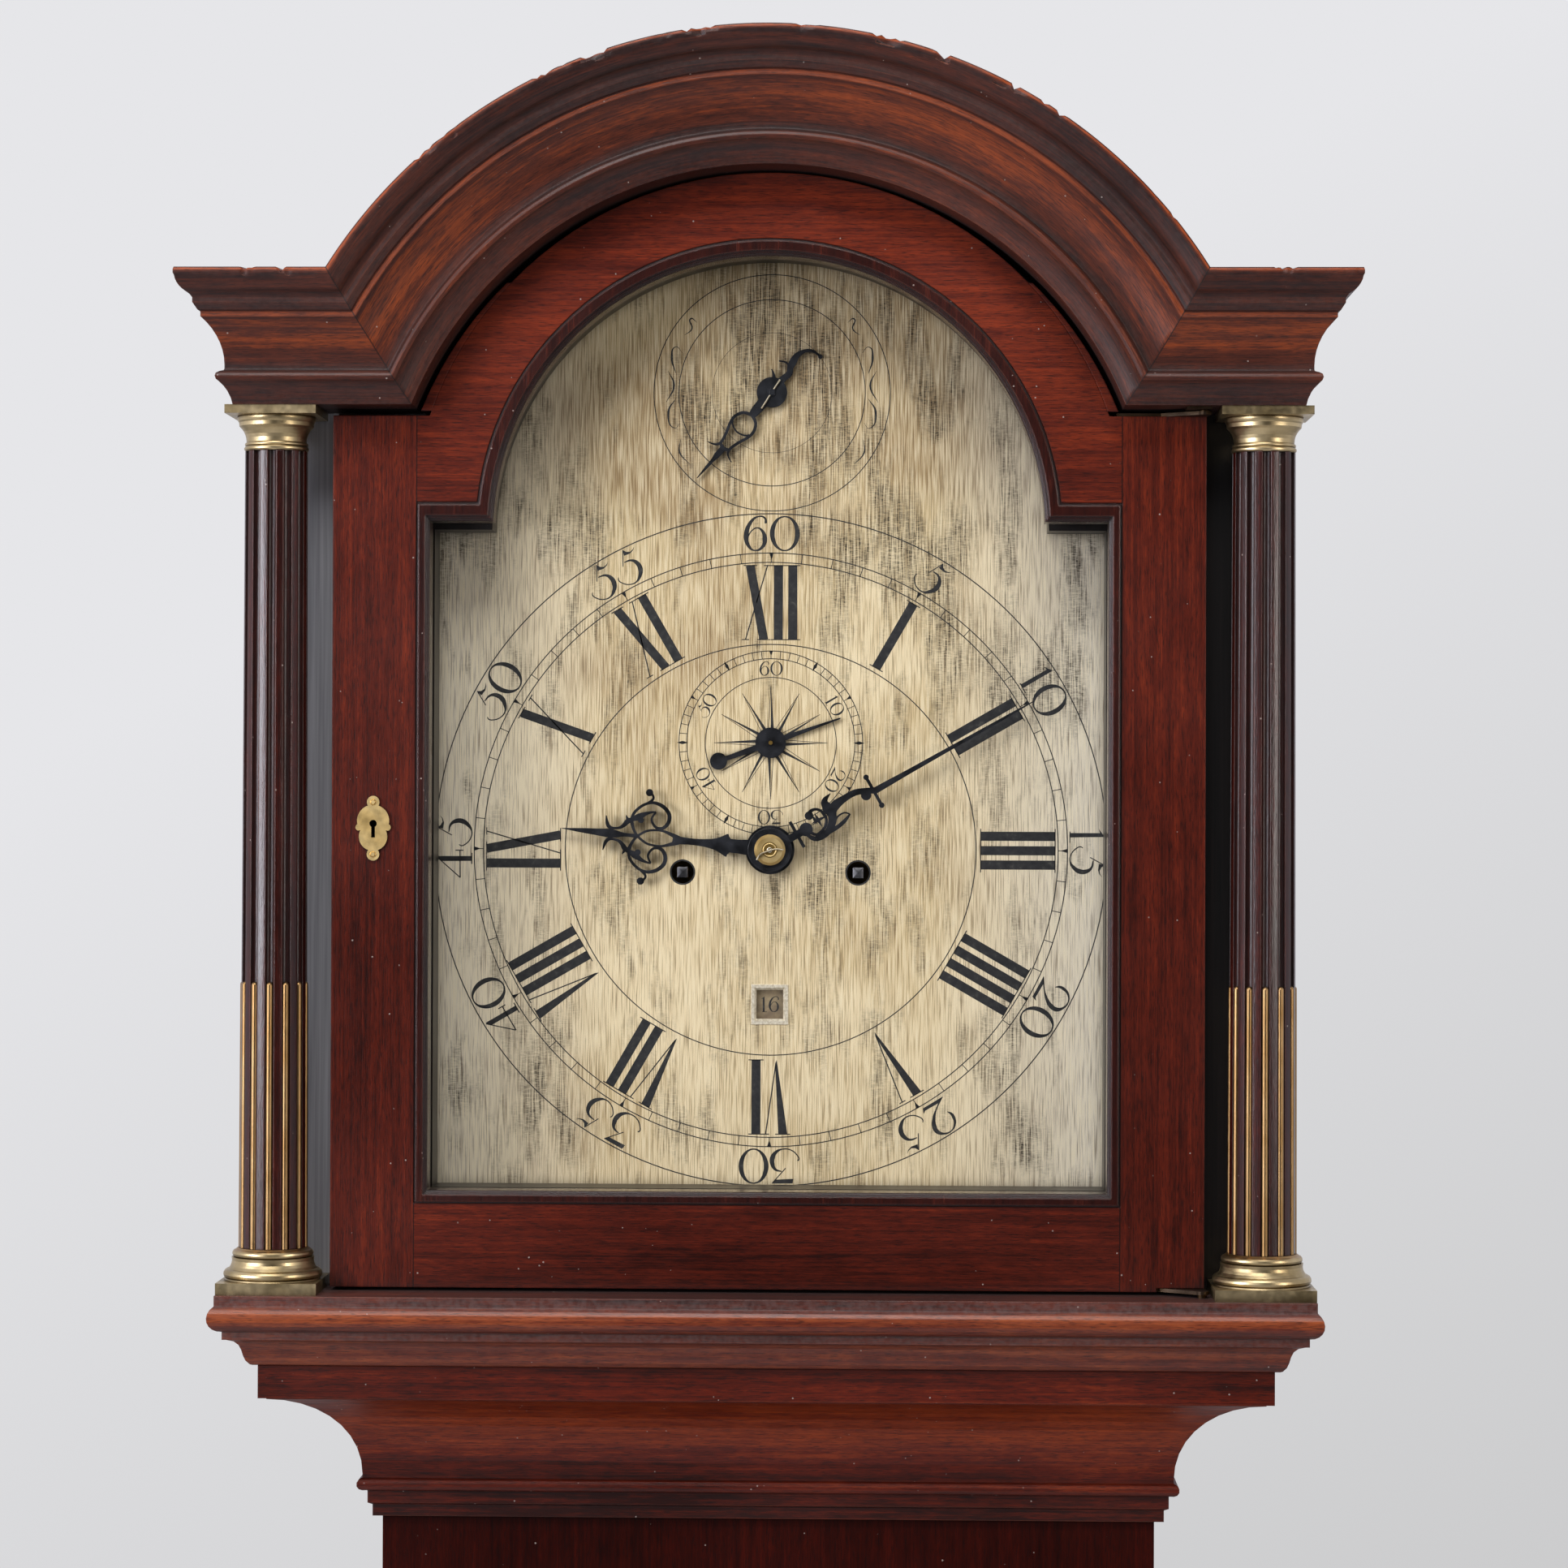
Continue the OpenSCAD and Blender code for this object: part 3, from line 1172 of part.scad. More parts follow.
// Pointer of the strike and silent ring: open lens on a spear, scrolled tail
module pointer_shape() {
    offset(delta = 0.01) {
        circle(r = 6.7);
        strip([[0, 5, 2.5], [0, 6.9, 2.3], [0, 11.1, 2.1], [0, 13.8, 1.4]], 2);
        for (side = [-1, 1]) scale([side, 1]) strip([[0, 13.3, 0.7], [3.6, 14.9, 0.65], [5.4, 18.6, 0.65],
            [5, 22.2, 0.6], [3.6, 26, 0.6], [2.5, 30.4, 0.6], [2.8, 32.6, 0.55], [4.5, 34, 0.35], [6.8, 34.8, 0.2]]);
        strip([[-4.8, 20.6, 0.35], [-3.6, 22.1, 0.35], [0, 23.2, 0.35], [3.6, 22.1, 0.35], [4.8, 20.6, 0.35]]);
        strip([[-2.7, 31.4, 0.5], [0, 32.6, 0.9], [2.7, 31.4, 0.5]]);
        strip([[0, 32.2, 1.3], [0, 36.9, 1.25], [0, 39.5, 0.75], [0, 43.7, 0.6], [0, pointer_len, 0.1]]);
        strip([[0.2, -5, 1.9], [0.2, -7.6, 1.4], [-0.3, -11.3, 1.4], [1.1, -13.5, 1.4], [1.9, -16.5, 1.6],
            [2.3, -19.7, 1.2], [1.1, -23.1, 0.75], [-1.3, -25.3, 0.65], [-3.9, -25.8, 0.5], [-5.7, -25.8, 0.4]]);
        strip([[6.8, -12.4, 0.25], [4, -14, 0.4], [1.4, -13.2, 0.5]]);
        strip([[3.4, -5, 0.9], [4.4, -6.3, 0.6], [6.8, -7.6, 0.25]]);
        ball(-5.7, -25.8, 1);
    }
}

module strike_silent_hand() {
    y1 = y_dial - 1.4;
    color("#17181b") translate([0, 0, z_dial + pointer_z]) rotate([0, pointer_at, 0]) {
        along_y(y1 - 1.4, y1) pointer_shape();
        rod_y(0, 0, 2, y1 - 1.6, y_dial + dial_t + 1);
        rod_y(0, 0, 7, y_dial + dial_t + 0.3, y_dial + dial_t + 1.8);
    }
}

module date_ring() {
    y0 = y_dial + dial_t + 0.4;
    color("#c9bfa6") along_y(y0, y0 + 1) translate([0, z_dial]) difference() {
        circle(r = date_drop + 9, $fn = 96);
        circle(r = date_drop - 10, $fn = 96);
    }
}

plinth();
base_boards();
base_moulding();
backboard();
trunk_sides();
trunk_front_frame();
throat_moulding();
seat_board();
trunk_hinge_leaves();
front_plate();
back_plate();
plate_pillars();
movement_cocks();
dial_plate();
bell();
line_leads();
hood_base_frame();
hood_sides();
hood_front_frame();
hood_cornice();
hood_roof();
hood_columns();
column_brasses();
hood_hinge_plates();
hood_door_frame();
glazing_bead();
door_glass();
hood_escutcheon();
hood_door_lock();
hood_hinge_straps();
trunk_door_panel();
trunk_escutcheon();
trunk_door_lock();
trunk_door_leaves();
centre_wheel();
minute_hand();
hand_collet();
hour_wheel();
hour_hand();
minute_wheel();
third_wheel();
escape_wheel();
seconds_hand();
going_great_wheel();
going_barrel();
going_weight();
going_pulley();
going_line();
strike_great_wheel();
strike_barrel();
strike_weight();
strike_pulley();
strike_line();
strike_pin_wheel();
hammer();
pallets();
pendulum_rod();
pendulum_bob();
strike_silent_hand();
date_ring();
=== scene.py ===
import json
from math import atan2, cos, pi, radians, sin, tau

import bmesh
import bpy
from mathutils import Euler, Matrix, Vector, noise


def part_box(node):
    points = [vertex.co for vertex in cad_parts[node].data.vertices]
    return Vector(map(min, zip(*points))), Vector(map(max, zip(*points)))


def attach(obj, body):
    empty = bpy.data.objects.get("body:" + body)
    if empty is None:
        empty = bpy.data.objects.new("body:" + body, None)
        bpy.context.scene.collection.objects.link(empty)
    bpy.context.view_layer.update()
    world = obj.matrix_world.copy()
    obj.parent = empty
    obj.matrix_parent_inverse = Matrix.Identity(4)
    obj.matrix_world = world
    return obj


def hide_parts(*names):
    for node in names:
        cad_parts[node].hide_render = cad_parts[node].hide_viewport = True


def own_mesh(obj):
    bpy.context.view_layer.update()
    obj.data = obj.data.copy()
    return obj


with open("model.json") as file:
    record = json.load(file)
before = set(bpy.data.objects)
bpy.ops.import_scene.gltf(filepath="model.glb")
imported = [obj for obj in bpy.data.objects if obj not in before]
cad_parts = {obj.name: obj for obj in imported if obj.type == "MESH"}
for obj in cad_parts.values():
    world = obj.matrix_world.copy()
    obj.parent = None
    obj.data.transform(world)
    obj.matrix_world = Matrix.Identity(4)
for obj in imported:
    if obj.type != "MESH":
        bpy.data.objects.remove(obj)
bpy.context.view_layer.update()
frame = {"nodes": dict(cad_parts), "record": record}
nodes = frame["nodes"]

# View. The camera stands 1.8 m in front of the dial, a hand's breadth to the right of its middle,
# level with the hands, and takes in the hood and the top of the trunk.
camera = bpy.data.objects.new("camera", bpy.data.cameras.new("camera"))
camera.data.sensor_width = 36
camera.data.lens = 94.06
camera.data.clip_start = 0.05
camera.location = (0.0527, -1.8402, 1.849)
aim = Vector((-0.02598, 0.99964, 0.00623)).normalized()
camera.rotation_euler = (aim.to_track_quat("-Z", "Y") @ Euler((0, 0, radians(0.217))).to_quaternion()).to_euler()
bpy.context.scene.collection.objects.link(camera)
bpy.context.scene.camera = camera
bpy.context.scene.view_settings.view_transform = "Standard"


# Studio. A pale floor, a soft pale surround, and tall soft lamps to the left, the right and above.
# The surround is dimmer towards the front, as a room is, so that polish keeps its depth.
def linear(hex_colour):
    # Colours are written as on a screen and turned to light here
    parts = [int(hex_colour[i:i + 2], 16) / 255 for i in (1, 3, 5)]
    return (*[p / 12.92 if p <= 0.04045 else ((p + 0.055) / 1.055) ** 2.4 for p in parts], 1)


def add(tree, kind, sockets=None, stops=None, **settings):
    node = tree.nodes.new("ShaderNode" + kind)
    for name, value in settings.items():
        setattr(node, name, value)
    for place, (at, colour) in enumerate(stops or []):
        dots = node.color_ramp.elements
        dot = dots[place] if place < 2 else dots.new(at)
        dot.position = at
        dot.color = linear(colour)
    for socket, source in (sockets or {}).items():
        if isinstance(source, bpy.types.NodeSocket):
            tree.links.new(source, node.inputs[socket])
        else:
            node.inputs[socket].default_value = source
    return node.outputs


def new_material(name):
    material = bpy.data.materials.new(name)
    material.use_nodes = True
    material.node_tree.nodes.clear()
    return material, material.node_tree


def dress(name, material):
    mesh = nodes[name].data
    mesh.materials.clear()
    mesh.materials.append(material)


world = bpy.data.worlds.new("studio")
bpy.context.scene.world = world
world.use_nodes = True
tree = world.node_tree
tree.nodes.clear()
x, y, z = add(tree, "SeparateXYZ", {0: add(tree, "TexCoord")["Generated"]})[:3]
# Polish and glass see a dark room in front, a bright window wall on the left and a paler one behind
behind = add(tree, "MapRange", {0: y, 1: -1.0, 2: 0.2, 3: 0.05, 4: 0.9}, interpolation_type="SMOOTHSTEP")[0]
window = add(tree, "MapRange", {0: x, 1: -0.05, 2: -0.7, 3: 0.05, 4: 1.0}, interpolation_type="SMOOTHSTEP")[0]
door = add(tree, "MapRange", {0: x, 1: 0.3, 2: 0.9, 3: 0.0, 4: 0.5}, interpolation_type="SMOOTHSTEP")[0]
bright = add(tree, "Math", {0: add(tree, "Math", {0: behind, 1: window}, operation="MAXIMUM")[0], 1: door},
    operation="MAXIMUM")[0]
# The wall behind is painted darker towards the lower right, a painted fall-off of its light
fall = add(tree, "Math", {0: x, 1: 1.3, 2: 0.3}, operation="MULTIPLY_ADD")[0]
fall = add(tree, "Math", {0: z, 1: -2.6, 2: fall}, operation="MULTIPLY_ADD", use_clamp=True)[0]
wall = add(tree, "Mix", {0: fall, 6: linear("#e6e6e9"), 7: linear("#cbcbcc")}, data_type="RGBA")[2]
rays = add(tree, "LightPath")
pale = add(tree, "Background", {0: wall, 1: 1.0})[0]
seen = add(tree, "Background", {0: linear("#e0e1ea"), 1: bright})[0]
soft = add(tree, "Background", {0: linear("#eceaea"), 1: 0.36})[0]
shiny = add(tree, "Math", {0: rays["Is Glossy Ray"], 1: rays["Is Transmission Ray"]}, operation="MAXIMUM")[0]
around = add(tree, "MixShader", {0: shiny, 1: soft, 2: seen})[0]
around = add(tree, "MixShader", {0: rays["Is Camera Ray"], 1: around, 2: pale})[0]
add(tree, "OutputWorld", {0: around})

floor_mesh = bpy.data.meshes.new("floor")
bm = bmesh.new()
bmesh.ops.create_grid(bm, x_segments=1, y_segments=1, size=6)
bm.to_mesh(floor_mesh)
bm.free()
floor = bpy.data.objects.new("floor", floor_mesh)
bpy.context.scene.collection.objects.link(floor)
floor_paint, tree = new_material("floor_paint")
mottle = add(tree, "TexNoise", {"Vector": add(tree, "TexCoord")["Object"], "Scale": 3.0, "Detail": 3.0})[0]
paint = add(tree, "ValToRGB", {0: mottle}, stops=[(0.3, "#d4d5d9"), (0.7, "#dcdde1")])[0]
add(tree, "OutputMaterial", {0: add(tree, "BsdfPrincipled", {"Base Color": paint, "Roughness": 0.75})[0]})
floor_mesh.materials.append(floor_paint)

for name, place, size, power, hue in (
        ("lamp_left", (-2.2, -1.7, 2.2), (0.7, 1.8), 58, "#f6f6ff"),
        ("lamp_right", (2.3, -1.9, 2.2), (0.5, 1.6), 22, "#fff8f2"),
        ("lamp_above", (-0.3, -2.0, 4.0), (2.0, 1.0), 52, "#ffffff")):
    lamp = bpy.data.lights.new(name, "AREA")
    lamp.shape = "RECTANGLE"
    lamp.size, lamp.size_y = size
    lamp.energy = power
    lamp.color = linear(hue)[:3]
    stand = bpy.data.objects.new(name, lamp)
    stand.location = place
    stand.rotation_euler = (Vector((0, 0, 1.85)) - Vector(place)).to_track_quat("-Z", "Z").to_euler()
    bpy.context.scene.collection.objects.link(stand)


# Boards of the case. Dense dark mahogany, planed, stained red-brown and waxed for two centuries: short pores
# along the grain, fine streaks, dark wax and painted shade in the corners and paler worn arrises. Glued and pinned
# edge to edge.
def by_height(tree, height, values):
    # The members of a moulding as values from 0 to 1, each at its height in millimetres over the foot
    tallest = 80
    up = add(tree, "Math", {0: height, 1: 1000 / tallest}, operation="MULTIPLY")[0]
    stops = [(mm / tallest, "#" + 3 * f"{round(255 * value):02x}") for mm, value in values]
    return add(tree, "RGBToBW", {0: add(tree, "ValToRGB", {0: up}, stops=stops)[0]})[0]


def mahogany(name, tones, along="z", joint=0.0, shine=0.3, wear=0.5, arch=None, foot=0.0, shades=None, dust=None,
        polish=0.5, paler=None):
    # joint: where level rails meet upright stiles. arch: height of its centre and inner radius. shades and dust:
    # how pale (over 0.5) or dark, and how dusty, a moulding's members are; the shades are partly painted highlight
    # and
    # sheen, partly wear. paler: painted light, from and to which height the tone is lifted, and by how much
    material, tree = new_material(name)
    spot = add(tree, "TexCoord")["Object"]
    x, y, z = add(tree, "SeparateXYZ", {0: spot})[:3]
    wide = add(tree, "Math", {0: x}, operation="ABSOLUTE")[0]
    level = add(tree, "CombineXYZ", {0: x, 1: z, 2: y})[0]
    upright = add(tree, "CombineXYZ", {0: z, 1: x, 2: y})[0]
    height = add(tree, "Math", {0: z, 1: foot}, operation="SUBTRACT")[0]
    grain = level if along == "x" else upright
    if joint:
        side = add(tree, "Math", {0: wide, 1: joint}, operation="GREATER_THAN")[0]
        grain = add(tree, "Mix", {0: side, 4: level, 5: upright}, data_type="VECTOR")[1]
    if arch:
        # Grain of the arched member runs round its centre; it meets the straight wings at the mitre
        centre, inside = arch
        # Lengths round the arch are those at its middle
        bend = 0.18
        rise = add(tree, "Math", {0: z, 1: centre}, operation="SUBTRACT")[0]
        turn = add(tree, "Math", {0: x, 1: rise}, operation="ARCTAN2")[0]
        run = add(tree, "Math", {0: turn, 1: bend}, operation="MULTIPLY")[0]
        out = add(tree, "CombineXYZ", {0: x, 1: rise})[0]
        out = add(tree, "VectorMath", {0: out}, operation="LENGTH")["Value"]
        round_height = add(tree, "Math", {0: out, 1: inside}, operation="SUBTRACT")[0]
        curved = add(tree, "Math", {0: round_height, 1: height}, operation="LESS_THAN")[0]
        bent = add(tree, "CombineXYZ", {0: run, 1: out, 2: y})[0]
        grain = add(tree, "Mix", {0: curved, 4: level, 5: bent}, data_type="VECTOR")[1]
        mitre = add(tree, "Math", {0: round_height, 1: height}, operation="SUBTRACT")[0]
        height = add(tree, "Math", {0: round_height, 1: height}, operation="MINIMUM")[0]
    # Streaks some 4 mm wide and 200 mm long, fibres of 0.8 mm and pores of 0.3 mm by 4 mm
    broad = add(tree, "VectorMath", {0: grain, 1: (4, 200, 200)}, operation="MULTIPLY")[0]
    fibre = add(tree, "VectorMath", {0: grain, 1: (16, 1200, 1200)}, operation="MULTIPLY")[0]
    pore = add(tree, "VectorMath", {0: grain, 1: (220, 2600, 2600)}, operation="MULTIPLY")[0]
    streaks = add(tree, "TexNoise", {"Vector": broad, "Scale": 1.0, "Detail": 5.0, "Distortion": 0.5})[0]
    fibres = add(tree, "TexNoise", {"Vector": fibre, "Scale": 1.0, "Detail": 2.0})[0]
    pores = add(tree, "TexNoise", {"Vector": pore, "Scale": 1.0, "Detail": 1.0})[0]
    clouds = add(tree, "TexNoise", {"Vector": spot, "Scale": 8.0, "Detail": 4.0})[0]
    # Mottled figure of 3 to 10 mm, darker flecks where the grain dips
    flecks = add(tree, "VectorMath", {0: grain, 1: (75, 420, 420)}, operation="MULTIPLY")[0]
    flecks = add(tree, "TexNoise", {"Vector": flecks, "Scale": 1.0, "Detail": 6.0, "Roughness": 0.7})[0]
    tone = add(tree, "Math", {0: streaks, 1: 0.28, 2: -0.12}, operation="MULTIPLY_ADD")[0]
    tone = add(tree, "Math", {0: fibres, 1: 0.24, 2: tone}, operation="MULTIPLY_ADD")[0]
    tone = add(tree, "Math", {0: clouds, 1: 0.32, 2: tone}, operation="MULTIPLY_ADD")[0]
    tone = add(tree, "Math", {0: flecks, 1: 0.4, 2: tone}, operation="MULTIPLY_ADD")[0]
    # Painted light: the tone is lifted between two heights, against the shade that falls there
    if paler:
        painted_lift = add(tree, "MapRange", {0: z, 1: paler[0], 2: paler[1], 3: 0.0, 4: paler[2]})[0]
        tone = add(tree, "Math", {0: tone, 1: painted_lift}, operation="ADD")[0]
    # Tone by height over the foot: painted highlights and sheen on some members, rubbed wear on others, darker
    # members
    if shades:
        # A shade of 0.5, which as light is 0.214, leaves the tone as it is
        depth, even = 0.6, 0.214
        shade = by_height(tree, height, shades)
        tone = add(tree, "Math", {0: shade, 1: depth, 2: tone}, operation="MULTIPLY_ADD")[0]
        tone = add(tree, "Math", {0: tone, 1: depth * even}, operation="SUBTRACT")[0]
    wood = add(tree, "ValToRGB", {0: tone}, stops=[(0.36, tones[0]), (0.78, tones[2]), (0.54, tones[1])])[0]
    holes = add(tree, "MapRange", {0: pores, 1: 0.32, 2: 0.45, 3: 0.6, 4: 0.0})[0]
    wood = add(tree, "Mix", {0: holes, 6: wood, 7: linear("#140605")}, data_type="RGBA")[2]
    # Corners are darkened with dark wax and painted shade, arrises are rubbed to the orange wood
    hollow = add(tree, "AmbientOcclusion", {"Distance": 0.012}, samples=4)["AO"]
    wax_and_painted_shade = add(tree, "MapRange", {0: hollow, 1: 0.35, 2: 0.8, 3: 0.75, 4: 0.0})[0]
    plain = add(tree, "NewGeometry")["Normal"]
    rounded = add(tree, "Bevel", {0: 0.0008}, samples=4)[0]
    facing = add(tree, "VectorMath", {0: plain, 1: rounded}, operation="DOT_PRODUCT")["Value"]
    edge = add(tree, "MapRange", {0: facing, 1: 0.985, 2: 0.8, 3: 0.0, 4: 1.0})[0]
    patchy = add(tree, "MapRange", {0: clouds, 1: 0.35, 2: 0.65, 3: 0.1, 4: 1.0})[0]
    proud = add(tree, "MapRange", {0: hollow, 1: 0.75, 2: 0.95, 3: 0.0, 4: wear})[0]
    edge = add(tree, "Math", {0: edge, 1: patchy}, operation="MULTIPLY")[0]
    edge = add(tree, "Math", {0: edge, 1: proud}, operation="MULTIPLY")[0]
    wood = add(tree, "Mix", {0: edge, 6: wood, 7: linear("#84442a")}, data_type="RGBA")[2]
    wood = add(tree, "Mix", {0: wax_and_painted_shade, 6: wood, 7: linear("#120807")}, data_type="RGBA")[2]
    # Dark glue line where boards meet, 0.4 mm wide
    if joint or arch:
        beside = mitre if arch else add(tree, "Math", {0: wide, 1: joint}, operation="SUBTRACT")[0]
        beside = add(tree, "Math", {0: beside}, operation="ABSOLUTE")[0]
        line = add(tree, "MapRange", {0: beside, 1: 0.0001, 2: 0.0004, 3: 0.85, 4: 0.0})[0]
        wood = add(tree, "Mix", {0: line, 6: wood, 7: linear("#0e0504")}, data_type="RGBA")[2]
    # Grey dust lies on the members named and as specks of 0.4 mm everywhere
    cells = add(tree, "TexVoronoi", {"Vector": spot, "Scale": 240.0}, feature="F1")["Distance"]
    lone = add(tree, "TexNoise", {"Vector": spot, "Scale": 160.0, "Detail": 0.0})[0]
    few = add(tree, "MapRange", {0: lone, 1: 0.62, 2: 0.68, 3: 0.0, 4: 0.6})[0]
    speck = add(tree, "Math", {0: cells, 1: 0.09}, operation="LESS_THAN")[0]
    speck = add(tree, "Math", {0: speck, 1: few}, operation="MULTIPLY")[0]
    wood = add(tree, "Mix", {0: speck, 6: wood, 7: linear("#a89a92")}, data_type="RGBA")[2]
    gloss = add(tree, "MapRange", {0: clouds, 1: 0.3, 2: 0.7, 3: shine, 4: shine + 0.14})[0]
    gloss = add(tree, "Math", {0: wax_and_painted_shade, 1: 0.3, 2: gloss}, operation="MULTIPLY_ADD")[0]
    if dust:
        grey = add(tree, "TexNoise", {"Vector": spot, "Scale": 500.0, "Detail": 3.0})[0]
        grey = add(tree, "MapRange", {0: grey, 1: 0.35, 2: 0.65, 3: 0.35, 4: 1.0})[0]
        grey = add(tree, "Math", {0: grey, 1: by_height(tree, height, dust)}, operation="MULTIPLY")[0]
        wood = add(tree, "Mix", {0: grey, 6: wood, 7: linear("#6b605e")}, data_type="RGBA")[2]
        gloss = add(tree, "Math", {0: grey, 1: 0.4, 2: gloss}, operation="MULTIPLY_ADD")[0]
    relief = add(tree, "Math", {0: fibres, 1: pores}, operation="ADD")[0]
    relief = add(tree, "Bump", {"Strength": 0.25, "Distance": 0.0002, "Height": relief, "Normal": rounded})[0]
    shell = add(tree, "BsdfPrincipled", {"Base Color": wood, "Roughness": gloss, "Normal": relief, "IOR": 1.5,
        "Specular IOR Level": polish})
    add(tree, "OutputMaterial", {0: shell[0]})
    return material


# Upright boards are a deep red-brown, level ones a shade warmer; the trunk's front is painted darkest, painted shade
# under the throat, and is the dullest
case_wood = mahogany("waxed_mahogany_upright", ("#1c0502", "#3c0f06", "#66220f"), polish=0.35)
level_wood = mahogany("waxed_mahogany_level", ("#220603", "#461206", "#70280f"), "x", polish=0.35)
shaded_trunk_wood = mahogany("shaded_trunk_mahogany", ("#160201", "#2c0602", "#440d04"), shine=0.4, wear=0.3, polish=0.07)
dress("trunk_front_frame", shaded_trunk_wood)
for name in ("trunk_sides", "base_boards", "hood_sides"):
    dress(name, case_wood)
for name in ("plinth", "base_moulding"):
    dress(name, level_wood)

# Backboard, seat board and roof boards. Plain softwood, sawn, nailed on where it doesn't show, and left dull and
# brown.
pine, tree = new_material("old_pine")
spot = add(tree, "TexCoord")["Object"]
stripe = add(tree, "VectorMath", {0: spot, 1: (160, 160, 5)}, operation="MULTIPLY")[0]
stripe = add(tree, "TexNoise", {"Vector": stripe, "Scale": 1.0, "Detail": 5.0, "Distortion": 0.4})[0]
wood = add(tree, "ValToRGB", {0: stripe}, stops=[(0.3, "#4a3320"), (0.75, "#8a6a45"), (0.5, "#6b4d30")])[0]
saw = add(tree, "Bump", {"Strength": 0.3, "Distance": 0.0004, "Height": stripe})[0]
board = add(tree, "BsdfPrincipled", {"Base Color": wood, "Roughness": 0.75, "Normal": saw})
add(tree, "OutputMaterial", {0: board[0]})
for name in ("backboard", "seat_board", "hood_roof"):
    dress(name, pine)

# Throat moulding. A deep cove between a flat fascia above and a bead below, worked with planes along the grain;
# its members are painted paler and darker by height, the cove paler as a painted sheen.
throat_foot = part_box("throat_moulding")[0].z
throat_wood = mahogany("throat_mahogany", ("#240602", "#561503", "#90380f"), "x", shine=0.34, wear=0.8,
    foot=throat_foot, shades=[(4, 0.2), (12, 0.34), (16, 0.55), (18, 0.25), (22, 0.5), (40, 0.72), (56, 0.66),
    (58, 0.46), (72, 0.5)], polish=0.3)
dress("throat_moulding", throat_wood)

# Trunk door. One broad upright board of finely figured mahogany with a break-arch top and a lip all round, hung
# on two brass hinges, with a brass lock behind and an escutcheon over the keyhole.
panel_wood = mahogany("figured_mahogany", ("#1c0603", "#401306", "#70290f"), shine=0.3, polish=0.3)
dress("trunk_door_panel", panel_wood)


def brass(name, light, dark, rough, grain=(300, 300, 300), reeds=None):
    # Filed and polished, gone a soft old gold with brown in the corners. reeds: their lowest and highest point
    material, tree = new_material(name)
    spot = add(tree, "TexCoord")["Object"]
    cloud = add(tree, "TexNoise", {"Vector": spot, "Scale": 60.0, "Detail": 4.0})[0]
    lines = add(tree, "VectorMath", {0: spot, 1: grain}, operation="MULTIPLY")[0]
    lines = add(tree, "TexNoise", {"Vector": lines, "Scale": 1.0, "Detail": 2.0})[0]
    metal = add(tree, "ValToRGB", {0: cloud}, stops=[(0.3, dark), (0.62, light)])[0]
    hollow = add(tree, "AmbientOcclusion", {"Distance": 0.004}, samples=4)["AO"]
    tarnish = add(tree, "MapRange", {0: hollow, 1: 0.3, 2: 0.85, 3: 0.8, 4: 0.0})[0]
    metal = add(tree, "Mix", {0: tarnish, 6: metal, 7: linear("#3a2810")}, data_type="RGBA")[2]
    if reeds:
        # The reeds are browner than the capitals and bases, bright only along their crowns
        fade = 0.001
        z = add(tree, "SeparateXYZ", {0: spot})["Z"]
        above = add(tree, "MapRange", {0: z, 1: reeds[0], 2: reeds[0] + fade, 3: 0.0, 4: 0.7})[0]
        below = add(tree, "MapRange", {0: z, 1: reeds[1], 2: reeds[1] + fade, 3: 1.0, 4: 0.0})[0]
        both = add(tree, "Math", {0: above, 1: below}, operation="MULTIPLY")[0]
        metal = add(tree, "Mix", {0: both, 6: metal, 7: linear("#966c3c")}, data_type="RGBA")[2]
    gloss = add(tree, "MapRange", {0: lines, 1: 0.3, 2: 0.7, 3: rough, 4: rough + 0.12})[0]
    relief = add(tree, "Bump", {"Strength": 0.15, "Distance": 0.0001, "Height": lines})[0]
    shell = add(tree, "BsdfPrincipled", {"Base Color": metal, "Metallic": 1.0, "Roughness": gloss, "Normal": relief})
    add(tree, "OutputMaterial", {0: shell[0]})
    return material


# Escutcheons and collet are cast and polished pale, locks and hinge leaves are dull and brown
pale_brass = brass("collet_brass", "#f0d496", "#c8a868", 0.4)
dress("trunk_escutcheon", pale_brass)
lock_brass = brass("dull_lock_brass", "#8f7442", "#6a5430", 0.38)
for name in ("trunk_door_lock", "trunk_door_leaves", "trunk_hinge_leaves"):
    dress(name, lock_brass)

# Movement. Plates and pillars of cast brass, hammered hard, filed along their length and pinned together; wheels,
# barrels and pulleys turned and cut from the same brass, and the pendulum's bob faced with it.
plate_brass = brass("movement_brass", "#cda95e", "#a07c40", 0.3, (40, 900, 900))
for name in ("front_plate", "back_plate", "plate_pillars", "movement_cocks", "bell", "centre_wheel", "hour_wheel",
        "minute_wheel", "third_wheel", "escape_wheel", "going_great_wheel", "going_barrel", "going_pulley",
        "strike_great_wheel", "strike_barrel", "strike_pulley", "strike_pin_wheel", "pendulum_bob"):
    dress(name, plate_brass)

# Dial plate. Brass silvered with paste and brushed upright, pinned to the movement by four feet; the lacquer has
# yellowed, the silver is worn to grey in patches, and dirt and painted shade darken it along the frame.
silvered, tree = new_material("silvered_brass")
spot = add(tree, "TexCoord")["Object"]
x, y, z = add(tree, "SeparateXYZ", {0: spot})[:3]
